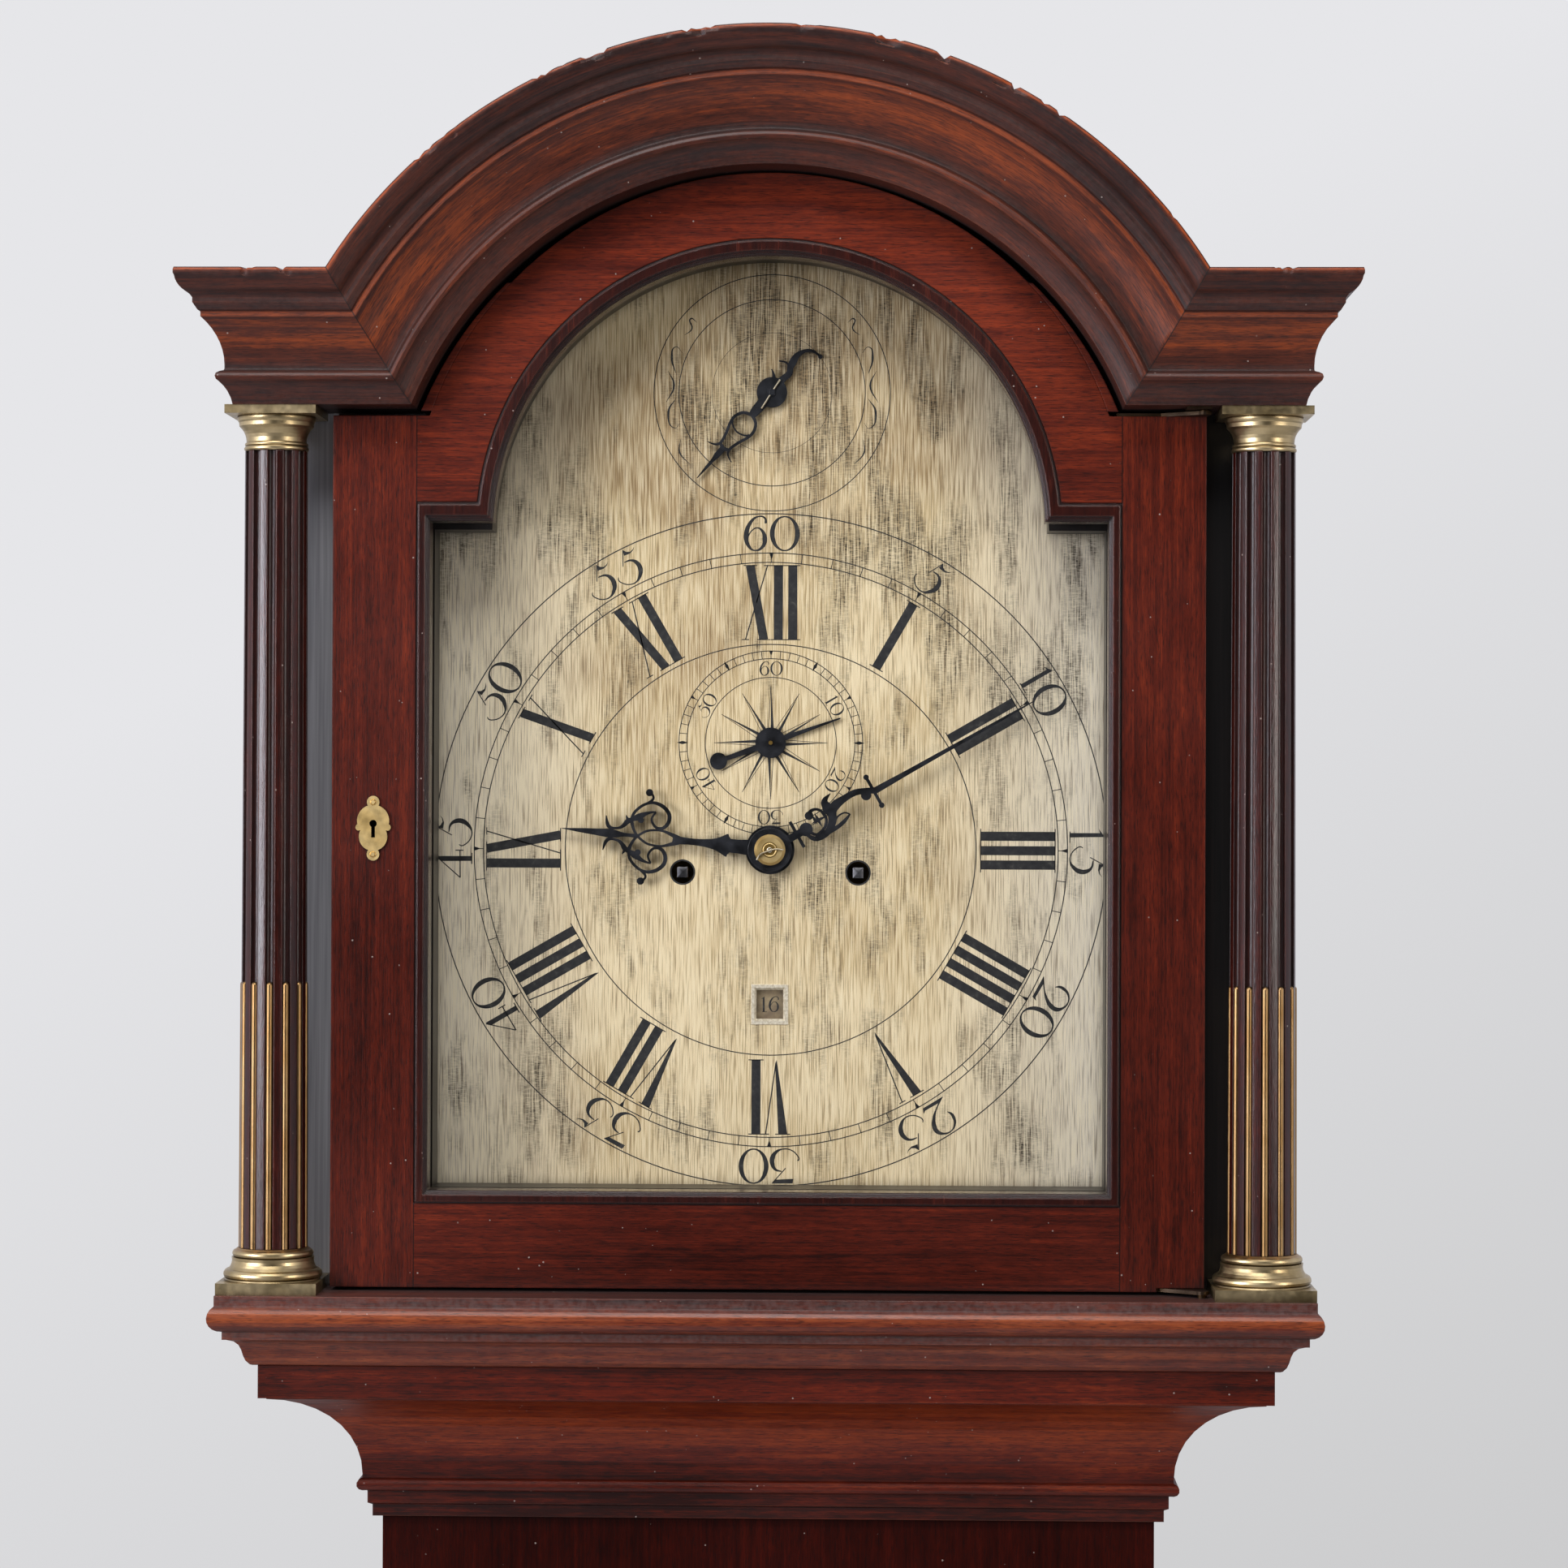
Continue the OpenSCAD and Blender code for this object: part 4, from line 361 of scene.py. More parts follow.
# Brush lines of 0.4 mm and 0.2 mm, a centimetre or two long, drawn upright
brush = add(tree, "VectorMath", {0: spot, 1: (2300, 2300, 62)}, operation="MULTIPLY")[0]
brush = add(tree, "TexNoise", {"Vector": brush, "Scale": 1.0, "Detail": 2.0})[0]
scores = add(tree, "VectorMath", {0: spot, 1: (4600, 4600, 130)}, operation="MULTIPLY")[0]
scores = add(tree, "TexNoise", {"Vector": scores, "Scale": 1.0, "Detail": 1.0})[0]
swathe = add(tree, "VectorMath", {0: spot, 1: (70, 70, 22)}, operation="MULTIPLY")[0]
swathe = add(tree, "TexNoise", {"Vector": swathe, "Scale": 1.0, "Detail": 5.0, "Roughness": 0.65})[0]
haze = add(tree, "TexNoise", {"Vector": spot, "Scale": 13.0, "Detail": 4.0})[0]
rise = add(tree, "MapRange", {0: z, 1: 1.7, 2: 2.08, 3: 0.12, 4: -0.13})[0]
haze = add(tree, "Math", {0: haze, 1: rise}, operation="ADD")[0]
base = add(tree, "ValToRGB", {0: haze}, stops=[(0.34, "#bc9f70"), (0.64, "#fbe6b8"), (0.5, "#e6cd9a")])[0]
# Painted light: paler towards the sides, against the shade of the door frame
beside = add(tree, "Math", {0: x}, operation="ABSOLUTE")[0]
beside = add(tree, "MapRange", {0: beside, 1: 0.07, 2: 0.14, 3: 0.0, 4: 0.95})[0]
base = add(tree, "Mix", {0: beside, 6: base, 7: linear("#fff6e0")}, data_type="RGBA")[2]
light = add(tree, "MapRange", {0: brush, 1: 0.42, 2: 0.66, 3: 0.0, 4: 0.7})[0]
base = add(tree, "Mix", {0: light, 6: base, 7: linear("#fff1cc")}, data_type="RGBA")[2]
dark = add(tree, "MapRange", {0: brush, 1: 0.5, 2: 0.3, 3: 0.0, 4: 0.7})[0]
base = add(tree, "Mix", {0: dark, 6: base, 7: linear("#8c7658")}, data_type="RGBA")[2]
# Worn patches: strongest by the top left, along the arch and beside the third and tenth hours
near = None
for place, size in (((-0.118, 1.985), 0.06), ((0.012, 2.035), 0.075), ((0.115, 1.9), 0.05), ((-0.105, 1.72), 0.045),
        ((0.02, 1.81), 0.05), ((0.05, 1.955), 0.06)):
    away = add(tree, "CombineXYZ", {0: add(tree, "Math", {0: x, 1: place[0]}, operation="SUBTRACT")[0],
        1: add(tree, "Math", {0: z, 1: place[1]}, operation="SUBTRACT")[0]})[0]
    away = add(tree, "VectorMath", {0: away}, operation="LENGTH")["Value"]
    spread = add(tree, "MapRange", {0: away, 1: 0.0, 2: size, 3: 0.15, 4: 0.0})[0]
    near = spread if near is None else add(tree, "Math", {0: near, 1: spread}, operation="MAXIMUM")[0]
worn = add(tree, "Math", {0: swathe, 1: near}, operation="ADD")[0]
worn = add(tree, "MapRange", {0: worn, 1: 0.505, 2: 0.67, 3: 0.0, 4: 1.0})[0]
across = add(tree, "VectorMath", {0: spot, 1: (420, 420, 3000)}, operation="MULTIPLY")[0]
across = add(tree, "TexNoise", {"Vector": across, "Scale": 1.0, "Detail": 2.0})[0]
for marks in (scores, brush, across):
    thin = add(tree, "MapRange", {0: marks, 1: 0.62, 2: 0.45, 3: 0.35, 4: 1.0})[0]
    worn = add(tree, "Math", {0: worn, 1: thin}, operation="MULTIPLY")[0]
base = add(tree, "Mix", {0: worn, 6: base, 7: linear("#3c3428")}, data_type="RGBA")[2]
# Dirt and painted shade darken the dial in its hollows and along the frame
hollow = add(tree, "AmbientOcclusion", {"Distance": 0.007}, samples=6)["AO"]
dirt_and_painted_shade = add(tree, "MapRange", {0: hollow, 1: 0.4, 2: 0.85, 3: 0.5, 4: 0.0})[0]
base = add(tree, "Mix", {0: dirt_and_painted_shade, 6: base, 7: linear("#5c5140")}, data_type="RGBA")[2]
gloss = add(tree, "MapRange", {0: brush, 1: 0.3, 2: 0.7, 3: 0.36, 4: 0.52})[0]
relief = add(tree, "Math", {0: brush, 1: scores}, operation="ADD")[0]
relief = add(tree, "Bump", {"Strength": 0.4, "Distance": 0.00015, "Height": relief})[0]
plate = add(tree, "BsdfPrincipled", {"Base Color": base, "Metallic": 0.3, "Roughness": gloss, "Normal": relief})
add(tree, "OutputMaterial", {0: plate[0]})
dress("dial_plate", silvered)

# Date ring. A brass ring that turns behind the dial and shows one figure at a time in the square hole. Silvered too,
# but out of the polisher's reach and gone grey.
tarnished, tree = new_material("tarnished_silvering")
blotch = add(tree, "TexNoise", {"Vector": add(tree, "TexCoord")["Object"], "Scale": 260.0, "Detail": 4.0})[0]
skin = add(tree, "ValToRGB", {0: blotch}, stops=[(0.35, "#80705a"), (0.7, "#a59473")])[0]
plate = add(tree, "BsdfPrincipled", {"Base Color": skin, "Metallic": 0.3, "Roughness": 0.5})
add(tree, "OutputMaterial", {0: plate[0]})
dress("date_ring", tarnished)

# Engraving of the dial. Cut with a burin and filled with black wax: chapter ring, minute track, numerals,
# seconds ring with its rayed star, and the ring of the strike and silent pointer.
wax, tree = new_material("engraving_wax")
loss = add(tree, "TexNoise", {"Vector": add(tree, "TexCoord")["Object"], "Scale": 420.0, "Detail": 3.0})[0]
ink = add(tree, "ValToRGB", {0: loss}, stops=[(0.35, "#17181a"), (0.8, "#4a4843"), (0.62, "#2a2a2a")])[0]
add(tree, "OutputMaterial", {0: add(tree, "BsdfPrincipled", {"Base Color": ink, "Roughness": 0.55})[0]})

# The hands turn half a dial's width over its foot, the seconds hand and the strike and silent pointer above them
half_dial, seconds_up, pointer_up = 0.1524, 0.047, 0.201
dial_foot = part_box("dial_plate")[0]
dial_face = dial_foot.y
hands_at = Vector((0, 0, dial_foot.z + half_dial))
seconds_at = hands_at + Vector((0, 0, seconds_up))
pointer_at = hands_at + Vector((0, 0, pointer_up))
wax_lift = 0.00004


def finished(name, bm, material, body, smooth=0.0):
    # A new piece from its bmesh. Edges stay sharp past an angle of smooth degrees
    mesh = bpy.data.meshes.new(name)
    bm.to_mesh(mesh)
    bm.free()
    mesh.materials.append(material)
    if smooth:
        mesh.shade_smooth()
        mesh.set_sharp_from_angle(angle=radians(smooth))
    piece = bpy.data.objects.new(name, mesh)
    bpy.context.scene.collection.objects.link(piece)
    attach(piece, body)
    return piece


def on_dial(bm, middle, lift=wax_lift):
    # From a drawing in millimetres, x right and y up, to the dial's face
    place = Matrix.Translation((middle.x, dial_face - lift, middle.z))
    bmesh.ops.transform(bm, matrix=place @ Matrix.Rotation(pi / 2, 4, "X") @ Matrix.Scale(0.001, 4), verts=bm.verts)


def engraved(name, drawing, middle, body="case", lift=wax_lift):
    on_dial(drawing, middle, lift=lift)
    finished(name, drawing, wax, body)


def line_ring(bm, radius, width):
    inner = bmesh.ops.create_circle(bm, segments=180, radius=radius - width / 2)["verts"]
    outer = bmesh.ops.create_circle(bm, segments=180, radius=radius + width / 2)["verts"]
    edges = {edge for vert in inner + outer for edge in vert.link_edges}
    bmesh.ops.bridge_loops(bm, edges=list(edges))


def cut(bm, corners, turn=0.0):
    # One flat cut of the burin with the given corners
    spin = Matrix.Rotation(-radians(turn), 3, "Z")
    bm.faces.new([bm.verts.new(spin @ Vector((*corner, 0))) for corner in corners])


def bar(bm, start, end, width, turn=0.0):
    a, b = Vector(start), Vector(end)
    side = (b - a).orthogonal().normalized() * width / 2
    cut(bm, (a + side, a - side, b - side, b + side), turn)


chapter = bmesh.new()
for radius, width in ((147.8, 0.46), (130.5, 0.42), (126.4, 0.42), (90.3, 0.42)):
    line_ring(chapter, radius, width)
for minute in range(60):
    bar(chapter, (0, 126.4), (0, 130.5), 0.32, minute * 6)
    if minute % 5 == 0:
        cut(chapter, ((-0.95, 130.5), (0.95, 130.5), (0, 127.5)), minute * 6)
engraved("chapter_lines", chapter, hands_at)

seconds_ring = bmesh.new()
for radius, width in ((40.4, 0.36), (37.0, 0.34), (28.8, 0.34)):
    line_ring(seconds_ring, radius, width)
for second in range(60):
    bar(seconds_ring, (0, 37.0), (0, 40.4), 0.28, second * 6)
    if second % 10 == 5:
        cut(seconds_ring, ((0, 36.4), (0.75, 38.85), (0, 41.3), (-0.75, 38.85)), second * 6)
    elif second % 5 == 0:
        cut(seconds_ring, ((-0.8, 40.4), (0.8, 40.4), (0, 38.2)), second * 6)
for ray in range(12):
    cut(seconds_ring, ((0, 5.5), (0, 25.2), (1.3, 6.4)), ray * 30)
    bar(seconds_ring, (-1.2, 6.4), (0, 25.0), 0.22, ray * 30)
engraved("seconds_lines", seconds_ring, seconds_at)

silent_ring = bmesh.new()
for radius, width in ((52.0, 0.38), (41.0, 0.36), (26.4, 0.16)):
    line_ring(silent_ring, radius, width)
engraved("silent_lines", silent_ring, pointer_at)

# Roman hours: thick bars 32.6 mm long between hairline serifs, feet to the centre
ROMAN = {1: "I", 2: "II", 3: "III", 4: "IIII", 5: "V", 6: "VI", 7: "VII", 8: "VIII", 9: "IX", 10: "X", 11: "XI",
    12: "XII"}
low, high, thick, thin, hair = 92.4, 125.0, 4.0, 0.5, 0.42
widths = {"I": 6.3, "V": 11.85, "X": 12.6}
hours = bmesh.new()
for hour, letters in ROMAN.items():
    left = -sum(widths[letter] for letter in letters) / 2
    for letter in letters:
        mid = left + widths[letter] / 2
        if letter == "I":
            bar(hours, (mid, low), (mid, high), thick, hour * 30)
            spans = ((mid - 3.3, mid + 3.3, low), (mid - 3.3, mid + 3.3, high))
        if letter == "V":
            cut(hours, ((mid - 4.8, high), (mid - 0.8, high), (mid + 0.7, low + 1.6), (mid, low)), hour * 30)
            bar(hours, (mid + 4.8, high), (mid + 0.4, low + 1.8), thin, hour * 30)
            spans = ((mid - 6.1, mid + 0.6, high), (mid + 3.2, mid + 6.2, high))
        if letter == "X":
            bar(hours, (mid - 3.05, high), (mid + 3.05, low), thick * 0.97, hour * 30)
            bar(hours, (mid + 4.6, high), (mid - 5.0, low), thin, hour * 30)
            spans = ((mid - 5.9, mid, high), (mid + 3.0, mid + 6.2, high), (mid - 6.6, mid - 3.4, low),
                (mid + 0.2, mid + 6.0, low))
        for x0, x1, level in spans:
            bar(hours, (x0, level), (x1, level), hair, hour * 30)
        left += widths[letter]
engraved("roman_hours", hours, hands_at)

# Arabic figures of a copperplate kind, one unit high: strokes that swell, as points x, y and half width, and wedges
FIGURES = {
    "1": [[(0.08, 0.01, 0.01), (0.4, 0.005, 0.01)]],
    "2": [[(0.13, 0.45, 0.004), (0.06, 0.56, 0.028), (0.05, 0.68, 0.036), (0.11, 0.86, 0.024), (0.3, 0.985, 0.012),
        (0.52, 0.95, 0.022), (0.66, 0.8, 0.05), (0.655, 0.62, 0.055), (0.56, 0.44, 0.036), (0.38, 0.25, 0.014),
        (0.04, 0.015, 0.01)]],
    "3": [[(0.776, 0.99, 0.009), (0.388, 0.552, 0.009)], [(0.5, 0.645, 0.009), (0.68, 0.59, 0.028),
        (0.765, 0.43, 0.052), (0.765, 0.26, 0.058), (0.66, 0.093, 0.035), (0.49, 0.012, 0.013), (0.25, 0.03, 0.011),
        (0.06, 0.18, 0.011), (0.01, 0.3, 0.013), (0.05, 0.335, 0.013)]],
    "4": [[(0.58, 1.0, 0.009), (0, 0.34, 0.01)], [(0, 0.34, 0.012), (0.78, 0.35, 0.01)],
        [(0.78, 0.48, 0.01), (0.78, 0.25, 0.01)], [(0.39, 0.01, 0.011), (0.71, 0.01, 0.011)]],
    "5": [[(0.54, 1.0, 0.009), (0.3125, 0.581, 0.009)], [(0.4, 0.672, 0.009), (0.614, 0.618, 0.025),
        (0.717, 0.46, 0.05), (0.71, 0.276, 0.058), (0.596, 0.11, 0.04), (0.43, 0.015, 0.014), (0.228, 0.044, 0.011),
        (0.0625, 0.184, 0.011), (0.011, 0.3125, 0.011), (0.044, 0.375, 0.008)]],
    "6": [[(0.632, 0.79, 0.03), (0.6, 0.94, 0.02), (0.42, 0.985, 0.014), (0.19, 0.81, 0.04), (0.07, 0.42, 0.062),
        (0.13, 0.16, 0.04), (0.3, 0.015, 0.013), (0.53, 0.11, 0.035), (0.6, 0.35, 0.058), (0.53, 0.57, 0.03),
        (0.39, 0.66, 0.013), (0.22, 0.57, 0.012), (0.13, 0.42, 0.011)]],
    "0": [[(0.413 + 0.358 * sin(a * tau / 16), 0.5 + 0.487 * cos(a * tau / 16),
        0.013 + 0.044 * abs(sin(a * tau / 16)) ** 2) for a in range(17)]],
}
WEDGES = {
    "1": [[(0.23, 1.0), (0.245, 0.0), (0.12, 0.0), (0.12, 0.86), (0, 0.825)]],
    "2": [[(0.037, 0.015), (0.207, 0.118), (0.66, 0.118), (0.74, 0.178), (0.69, 0.03)]],
    "3": [[(0.187, 0.985), (0.776, 0.993), (0.672, 0.88), (0.164, 0.854)]],
    "4": [[(0.58, 1.0), (0.612, 0.98), (0.615, 0.0), (0.477, 0.0), (0.47, 0.86)]],
    "5": [[(0.54, 1.0), (0.599, 0.904), (0.695, 0.853), (0.673, 0.809), (0.489, 0.838)],
        [(0.695, 0.853), (0.79, 0.871), (0.879, 0.93), (0.798, 0.849), (0.673, 0.809)]],
}
FIGURE_WIDTH = {"1": 0.4, "2": 0.74, "3": 0.79, "4": 0.8, "5": 0.76, "6": 0.66, "0": 0.826}

nib = bpy.data.curves.new("nib", "CURVE")
nib.dimensions = "2D"
flat = nib.splines.new("POLY")
flat.points.add(1)
flat.points[0].co = (-1, 0, 0, 1)
flat.points[1].co = (1, 0, 0, 1)
nib_shape = bpy.data.objects.new("nib", nib)
bpy.context.scene.collection.objects.link(nib_shape)


def swelling(strokes):
    # Flat strokes whose width swells and thins as the nib turns, as a bmesh in the drawing's own units
    curve = bpy.data.curves.new("stroke", "CURVE")
    curve.dimensions = "2D"
    curve.fill_mode = "NONE"
    curve.bevel_mode = "OBJECT"
    curve.bevel_object = nib_shape
    curve.resolution_u = 6
    for stroke in strokes:
        line = curve.splines.new("BEZIER")
        line.bezier_points.add(len(stroke) - 1)
        for point, (x, y, half) in zip(line.bezier_points, stroke):
            point.co = (x, y, 0)
            point.radius = half
            point.handle_left_type = point.handle_right_type = "AUTO"
    shape = bpy.data.objects.new("stroke", curve)
    bpy.context.scene.collection.objects.link(shape)
    bpy.context.view_layer.update()
    mesh = bpy.data.meshes.new_from_object(shape.evaluated_get(bpy.context.evaluated_depsgraph_get()))
    bpy.data.objects.remove(shape)
    drawn = bmesh.new()
    drawn.from_mesh(mesh)
    return drawn


def figures(name, text, height, radius, turn, middle, spread=1.0, body="case",
        lift=wax_lift):
    strokes, wedges = [], []
    apart = 0.1
    wide = height * spread
    left = -(sum(FIGURE_WIDTH[digit] for digit in text) + apart * (len(text) - 1)) * wide / 2
    for digit in text:
        for stroke in FIGURES[digit]:
            strokes.append([(left + x * wide, radius + y * height, (half * 1.15 + 0.003) * height)
                for x, y, half in stroke])
        for wedge in WEDGES.get(digit, ()):
            wedges.append([(left + x * wide, radius + y * height) for x, y in wedge])
        left += (FIGURE_WIDTH[digit] + apart) * wide
    drawn = swelling(strokes)
    for wedge in wedges:
        cut(drawn, wedge)
    bmesh.ops.rotate(drawn, matrix=Matrix.Rotation(-radians(turn), 3, "Z"), verts=drawn.verts)
    engraved(name, drawn, middle, body, lift)


for five in range(1, 13):
    figures(f"minute_{five * 5}", str(five * 5), 15.4, 131.4, five * 30, hands_at)
for ten in range(1, 7):
    figures(f"second_{ten * 10}", str(ten * 10), 6.2, 29.6, ten * 60, seconds_at, 1.03)
# The day's figure stands on the ring, 2.4 mm behind the dial's face
figures("date_figure", "16", 6.8, -71.4, 0, hands_at, body="date_work", lift=-0.00236)

# Flourishes that fill the band of the strike and silent ring on either side
curls = swelling([[(side * x, y, half) for x, y, half in stroke] for side in (-1, 1) for stroke in (
    [(33.2, 31, 0.05), (36, 32.6, 0.32), (35.4, 28.2, 0.3), (38.6, 25.4, 0.06)],
    [(39.5, 17.5, 0.05), (42.6, 20.2, 0.16), (44.2, 15.4, 0.5), (42.4, 8.6, 0.1)],
    [(45.8, 9.6, 0.05), (43.2, 3.2, 0.46), (46.6, -4.2, 0.08)],
    [(42.2, -2.4, 0.05), (45.6, -8.4, 0.5), (42.8, -15.6, 0.12), (40.6, -13.4, 0.05)],
    [(40.2, -20.6, 0.05), (40.6, -26.2, 0.34), (36.2, -31.4, 0.07)])])
engraved("silent_flourishes", curls, pointer_at)
bpy.data.objects.remove(nib_shape)


# Frame of the date hole. A bevelled silver rim, filed bright and soldered round the opening, where it stands 0.45 mm
# proud.
def turned(name, profile, sides, middle, material, body, closed=True, stretch=1.0):
    # Round or square piece round the middle, spun from radius and height in front of it, in millimetres. Flats of a
    # square one face sideways and up, and stretch makes it taller
    shape = bmesh.new()
    corners = [shape.verts.new((0, -rise, radius)) for radius, rise in profile]
    edges = [shape.edges.new(pair) for pair in zip(corners, corners[1:] + (corners[:1] if closed else []))]
    bmesh.ops.spin(shape, geom=corners + edges, axis=(0, 1, 0), angle=tau, steps=sides, use_merge=True)
    if not closed:
        bmesh.ops.holes_fill(shape, edges=[edge for edge in shape.edges if edge.is_boundary])
    bmesh.ops.rotate(shape, matrix=Matrix.Rotation(pi / sides, 3, "Y"), verts=shape.verts)
    bmesh.ops.scale(shape, vec=(0.001, 0.001, 0.001 * stretch), verts=shape.verts)
    bmesh.ops.translate(shape, vec=middle, verts=shape.verts)
    bmesh.ops.recalc_face_normals(shape, faces=shape.faces)
    finished(name, shape, material, body, 25)


bright_silver, tree = new_material("bright_silver_rim")
filed = add(tree, "TexNoise", {"Vector": add(tree, "TexCoord")["Object"], "Scale": 900.0, "Detail": 2.0})[0]
skin = add(tree, "ValToRGB", {0: filed}, stops=[(0.35, "#d8ccb0"), (0.65, "#fbf3de")])[0]
rim = add(tree, "BsdfPrincipled", {"Base Color": skin, "Metallic": 0.3, "Roughness": 0.3})
add(tree, "OutputMaterial", {0: rim[0]})
date_down = 0.068
turned("date_frame", [(11.7, 0), (11.4, 0.45), (9.5, 0.45), (8.3, -0.7)], 4,
    Vector((0, dial_face, hands_at.z - date_down)), bright_silver, "case", stretch=1.08)

# Rims of the winding holes. Turned steel collets let into the plate, as black as the wax, so that the key doesn't
# mark the silvering.
winding_out, winding_down = 0.0386, 0.01
for side, name in ((-1, "winding_rim_strike"), (1, "winding_rim_going")):
    rim = bmesh.new()
    inner = bmesh.ops.create_circle(rim, segments=48, radius=4.9)["verts"]
    outer = bmesh.ops.create_circle(rim, segments=48, radius=5.6)["verts"]
    bmesh.ops.bridge_loops(rim, edges=list({edge for vert in inner + outer for edge in vert.link_edges}))
    on_dial(rim, hands_at + Vector((side * winding_out, 0, -winding_down)), lift=0.00006)
    finished(name, rim, wax, "case")

# Hands. Steel, pierced and filed to a pattern, blackened and lacquered, with a faint polish on the flats. The minute
# hand sits on a square under a brass collet.
hand_steel, tree = new_material("blackened_steel")
spot = add(tree, "TexCoord")["Object"]
blue = add(tree, "TexNoise", {"Vector": spot, "Scale": 150.0, "Detail": 3.0})[0]
coat = add(tree, "ValToRGB", {0: blue}, stops=[(0.35, "#121316"), (0.7, "#2b2d33")])[0]
gloss = add(tree, "MapRange", {0: blue, 1: 0.3, 2: 0.7, 3: 0.32, 4: 0.5})[0]
edge = add(tree, "Bevel", {0: 0.0003}, samples=4)[0]
steel = add(tree, "BsdfPrincipled", {"Base Color": coat, "Metallic": 0.4, "Roughness": gloss, "Normal": edge})
add(tree, "OutputMaterial", {0: steel[0]})
for name in ("minute_hand", "hour_hand", "seconds_hand", "strike_silent_hand"):
    dress(name, hand_steel)
dress("hand_collet", pale_brass)

# Pins of the hands. A tapered brass wire, bent to an S, holds the collet on its arbor; a straight one holds the
# strike and silent pointer on a square.
pin_brass = brass("drawn_brass_pin", "#f4ead2", "#d8c8a0", 0.25)


def pin(name, points, thick, thin, front, middle, body):
    # Round wire through points in millimetres on the dial, tapering from its first end to its last
    wire = bmesh.new()
    rings = []
    for place, (px, py) in enumerate(points):
        ahead = Vector(points[min(place + 1, len(points) - 1)]) - Vector(points[max(place - 1, 0)])
        radius = thick + (thin - thick) * place / (len(points) - 1)
        loop = bmesh.ops.create_circle(wire, cap_ends=place in (0, len(points) - 1), segments=12,
            radius=radius)["verts"]
        lay = Matrix.Translation((px, py, 0)) @ Matrix.Rotation(ahead.angle_signed(Vector((0, 1))), 4, "Z")
        bmesh.ops.transform(wire, matrix=lay @ Matrix.Rotation(pi / 2, 4, "X"), verts=loop)
        rings.append(loop)
    for first, second in zip(rings, rings[1:]):
        edges = {edge for loop in (first, second) for vert in loop for edge in vert.link_edges
            if edge.other_vert(vert) in loop}
        bmesh.ops.bridge_loops(wire, edges=list(edges))
    bmesh.ops.recalc_face_normals(wire, faces=wire.faces)
    on_dial(wire, middle, lift=dial_face - front)
    finished(name, wire, pin_brass, body)


collet_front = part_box("hand_collet")[0].y
on_collet = Vector((0, collet_front, hands_at.z))
turned("collet_ring", [(3.1, -0.1), (3.0, 0.15), (2.75, 0.25), (2.5, 0.15), (2.4, -0.1)], 40, on_collet, pale_brass,
    "centre_arbor")
turned("arbor_tip", [(1.2, -0.3), (1.2, 0.3), (0.9, 0.5)], 24, on_collet, pin_brass, "centre_arbor",
    closed=False)
boss_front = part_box("minute_hand")[0].y
turned("minute_boss_rim", [(8.4, -1.5), (9.7, -1.5), (9.7, -0.1), (9.5, 0.05), (8.4, 0.05)], 72,
    Vector((0, boss_front, hands_at.z)), hand_steel, "centre_arbor")
pin("collet_pin", [(-5.6, -4.4), (-4.6, -2.4), (-3.2, -1.3), (-1.2, -0.6), (1.0, 0.2), (3.4, 0.5), (6.0, 0.1)],
    0.46, 0.34, collet_front - 0.0009, hands_at, "centre_arbor")
pointer_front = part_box("strike_silent_hand")[0].y
pin("pointer_pin", [(3.6, 5.4), (0, 0), (-4.5, -7.2)], 0.48, 0.42, pointer_front - 0.0005, pointer_at, "pointer")
turned("pointer_arbor", [(1.9, -0.5), (1.9, 0.9), (1.6, 1.1)], 4, Vector((0, pointer_front, pointer_at.z)),
    hand_steel, "pointer", closed=False)

# Pendulum rod, hammer, pallets and winding squares. Iron and steel, forged and left from the file, with a dark
# skin and paler spots.
iron, tree = new_material("filed_iron")
spot = add(tree, "TexCoord")["Object"]
spots = add(tree, "TexNoise", {"Vector": spot, "Scale": 90.0, "Detail": 4.0})[0]
skin = add(tree, "ValToRGB", {0: spots}, stops=[(0.35, "#3a3a3d"), (0.7, "#6b6b6e")])[0]
bare = add(tree, "BsdfPrincipled", {"Base Color": skin, "Metallic": 0.8, "Roughness": 0.42})
add(tree, "OutputMaterial", {0: bare[0]})
for name in ("hammer", "pallets", "pendulum_rod"):
    dress(name, iron)
# Filed ends of the two winding squares, in the dial's holes
for side, barrel in ((-1, "strike_barrel"), (1, "going_barrel")):
    turned(f"{barrel}_square_end", [(3.25, -0.8), (3.25, 0.1), (0.3, 1.0)], 4,
        Vector((side * winding_out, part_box(barrel)[0].y, hands_at.z - winding_down)), iron, barrel + "_arbor",
        closed=False)

# Weights. Lead cast in a round mould, dented and dull grey; each hangs from its pulley on a double fall of gut.
lead, tree = new_material("cast_lead")
spots = add(tree, "TexNoise", {"Vector": add(tree, "TexCoord")["Object"], "Scale": 55.0, "Detail": 5.0})[0]
skin = add(tree, "ValToRGB", {0: spots}, stops=[(0.35, "#55565a"), (0.7, "#85868a")])[0]
dent = add(tree, "Bump", {"Strength": 0.4, "Distance": 0.001, "Height": spots})[0]
bare = add(tree, "BsdfPrincipled", {"Base Color": skin, "Metallic": 0.3, "Roughness": 0.6, "Normal": dent})
add(tree, "OutputMaterial", {0: bare[0]})
for name in ("going_weight", "strike_weight"):
    dress(name, lead)

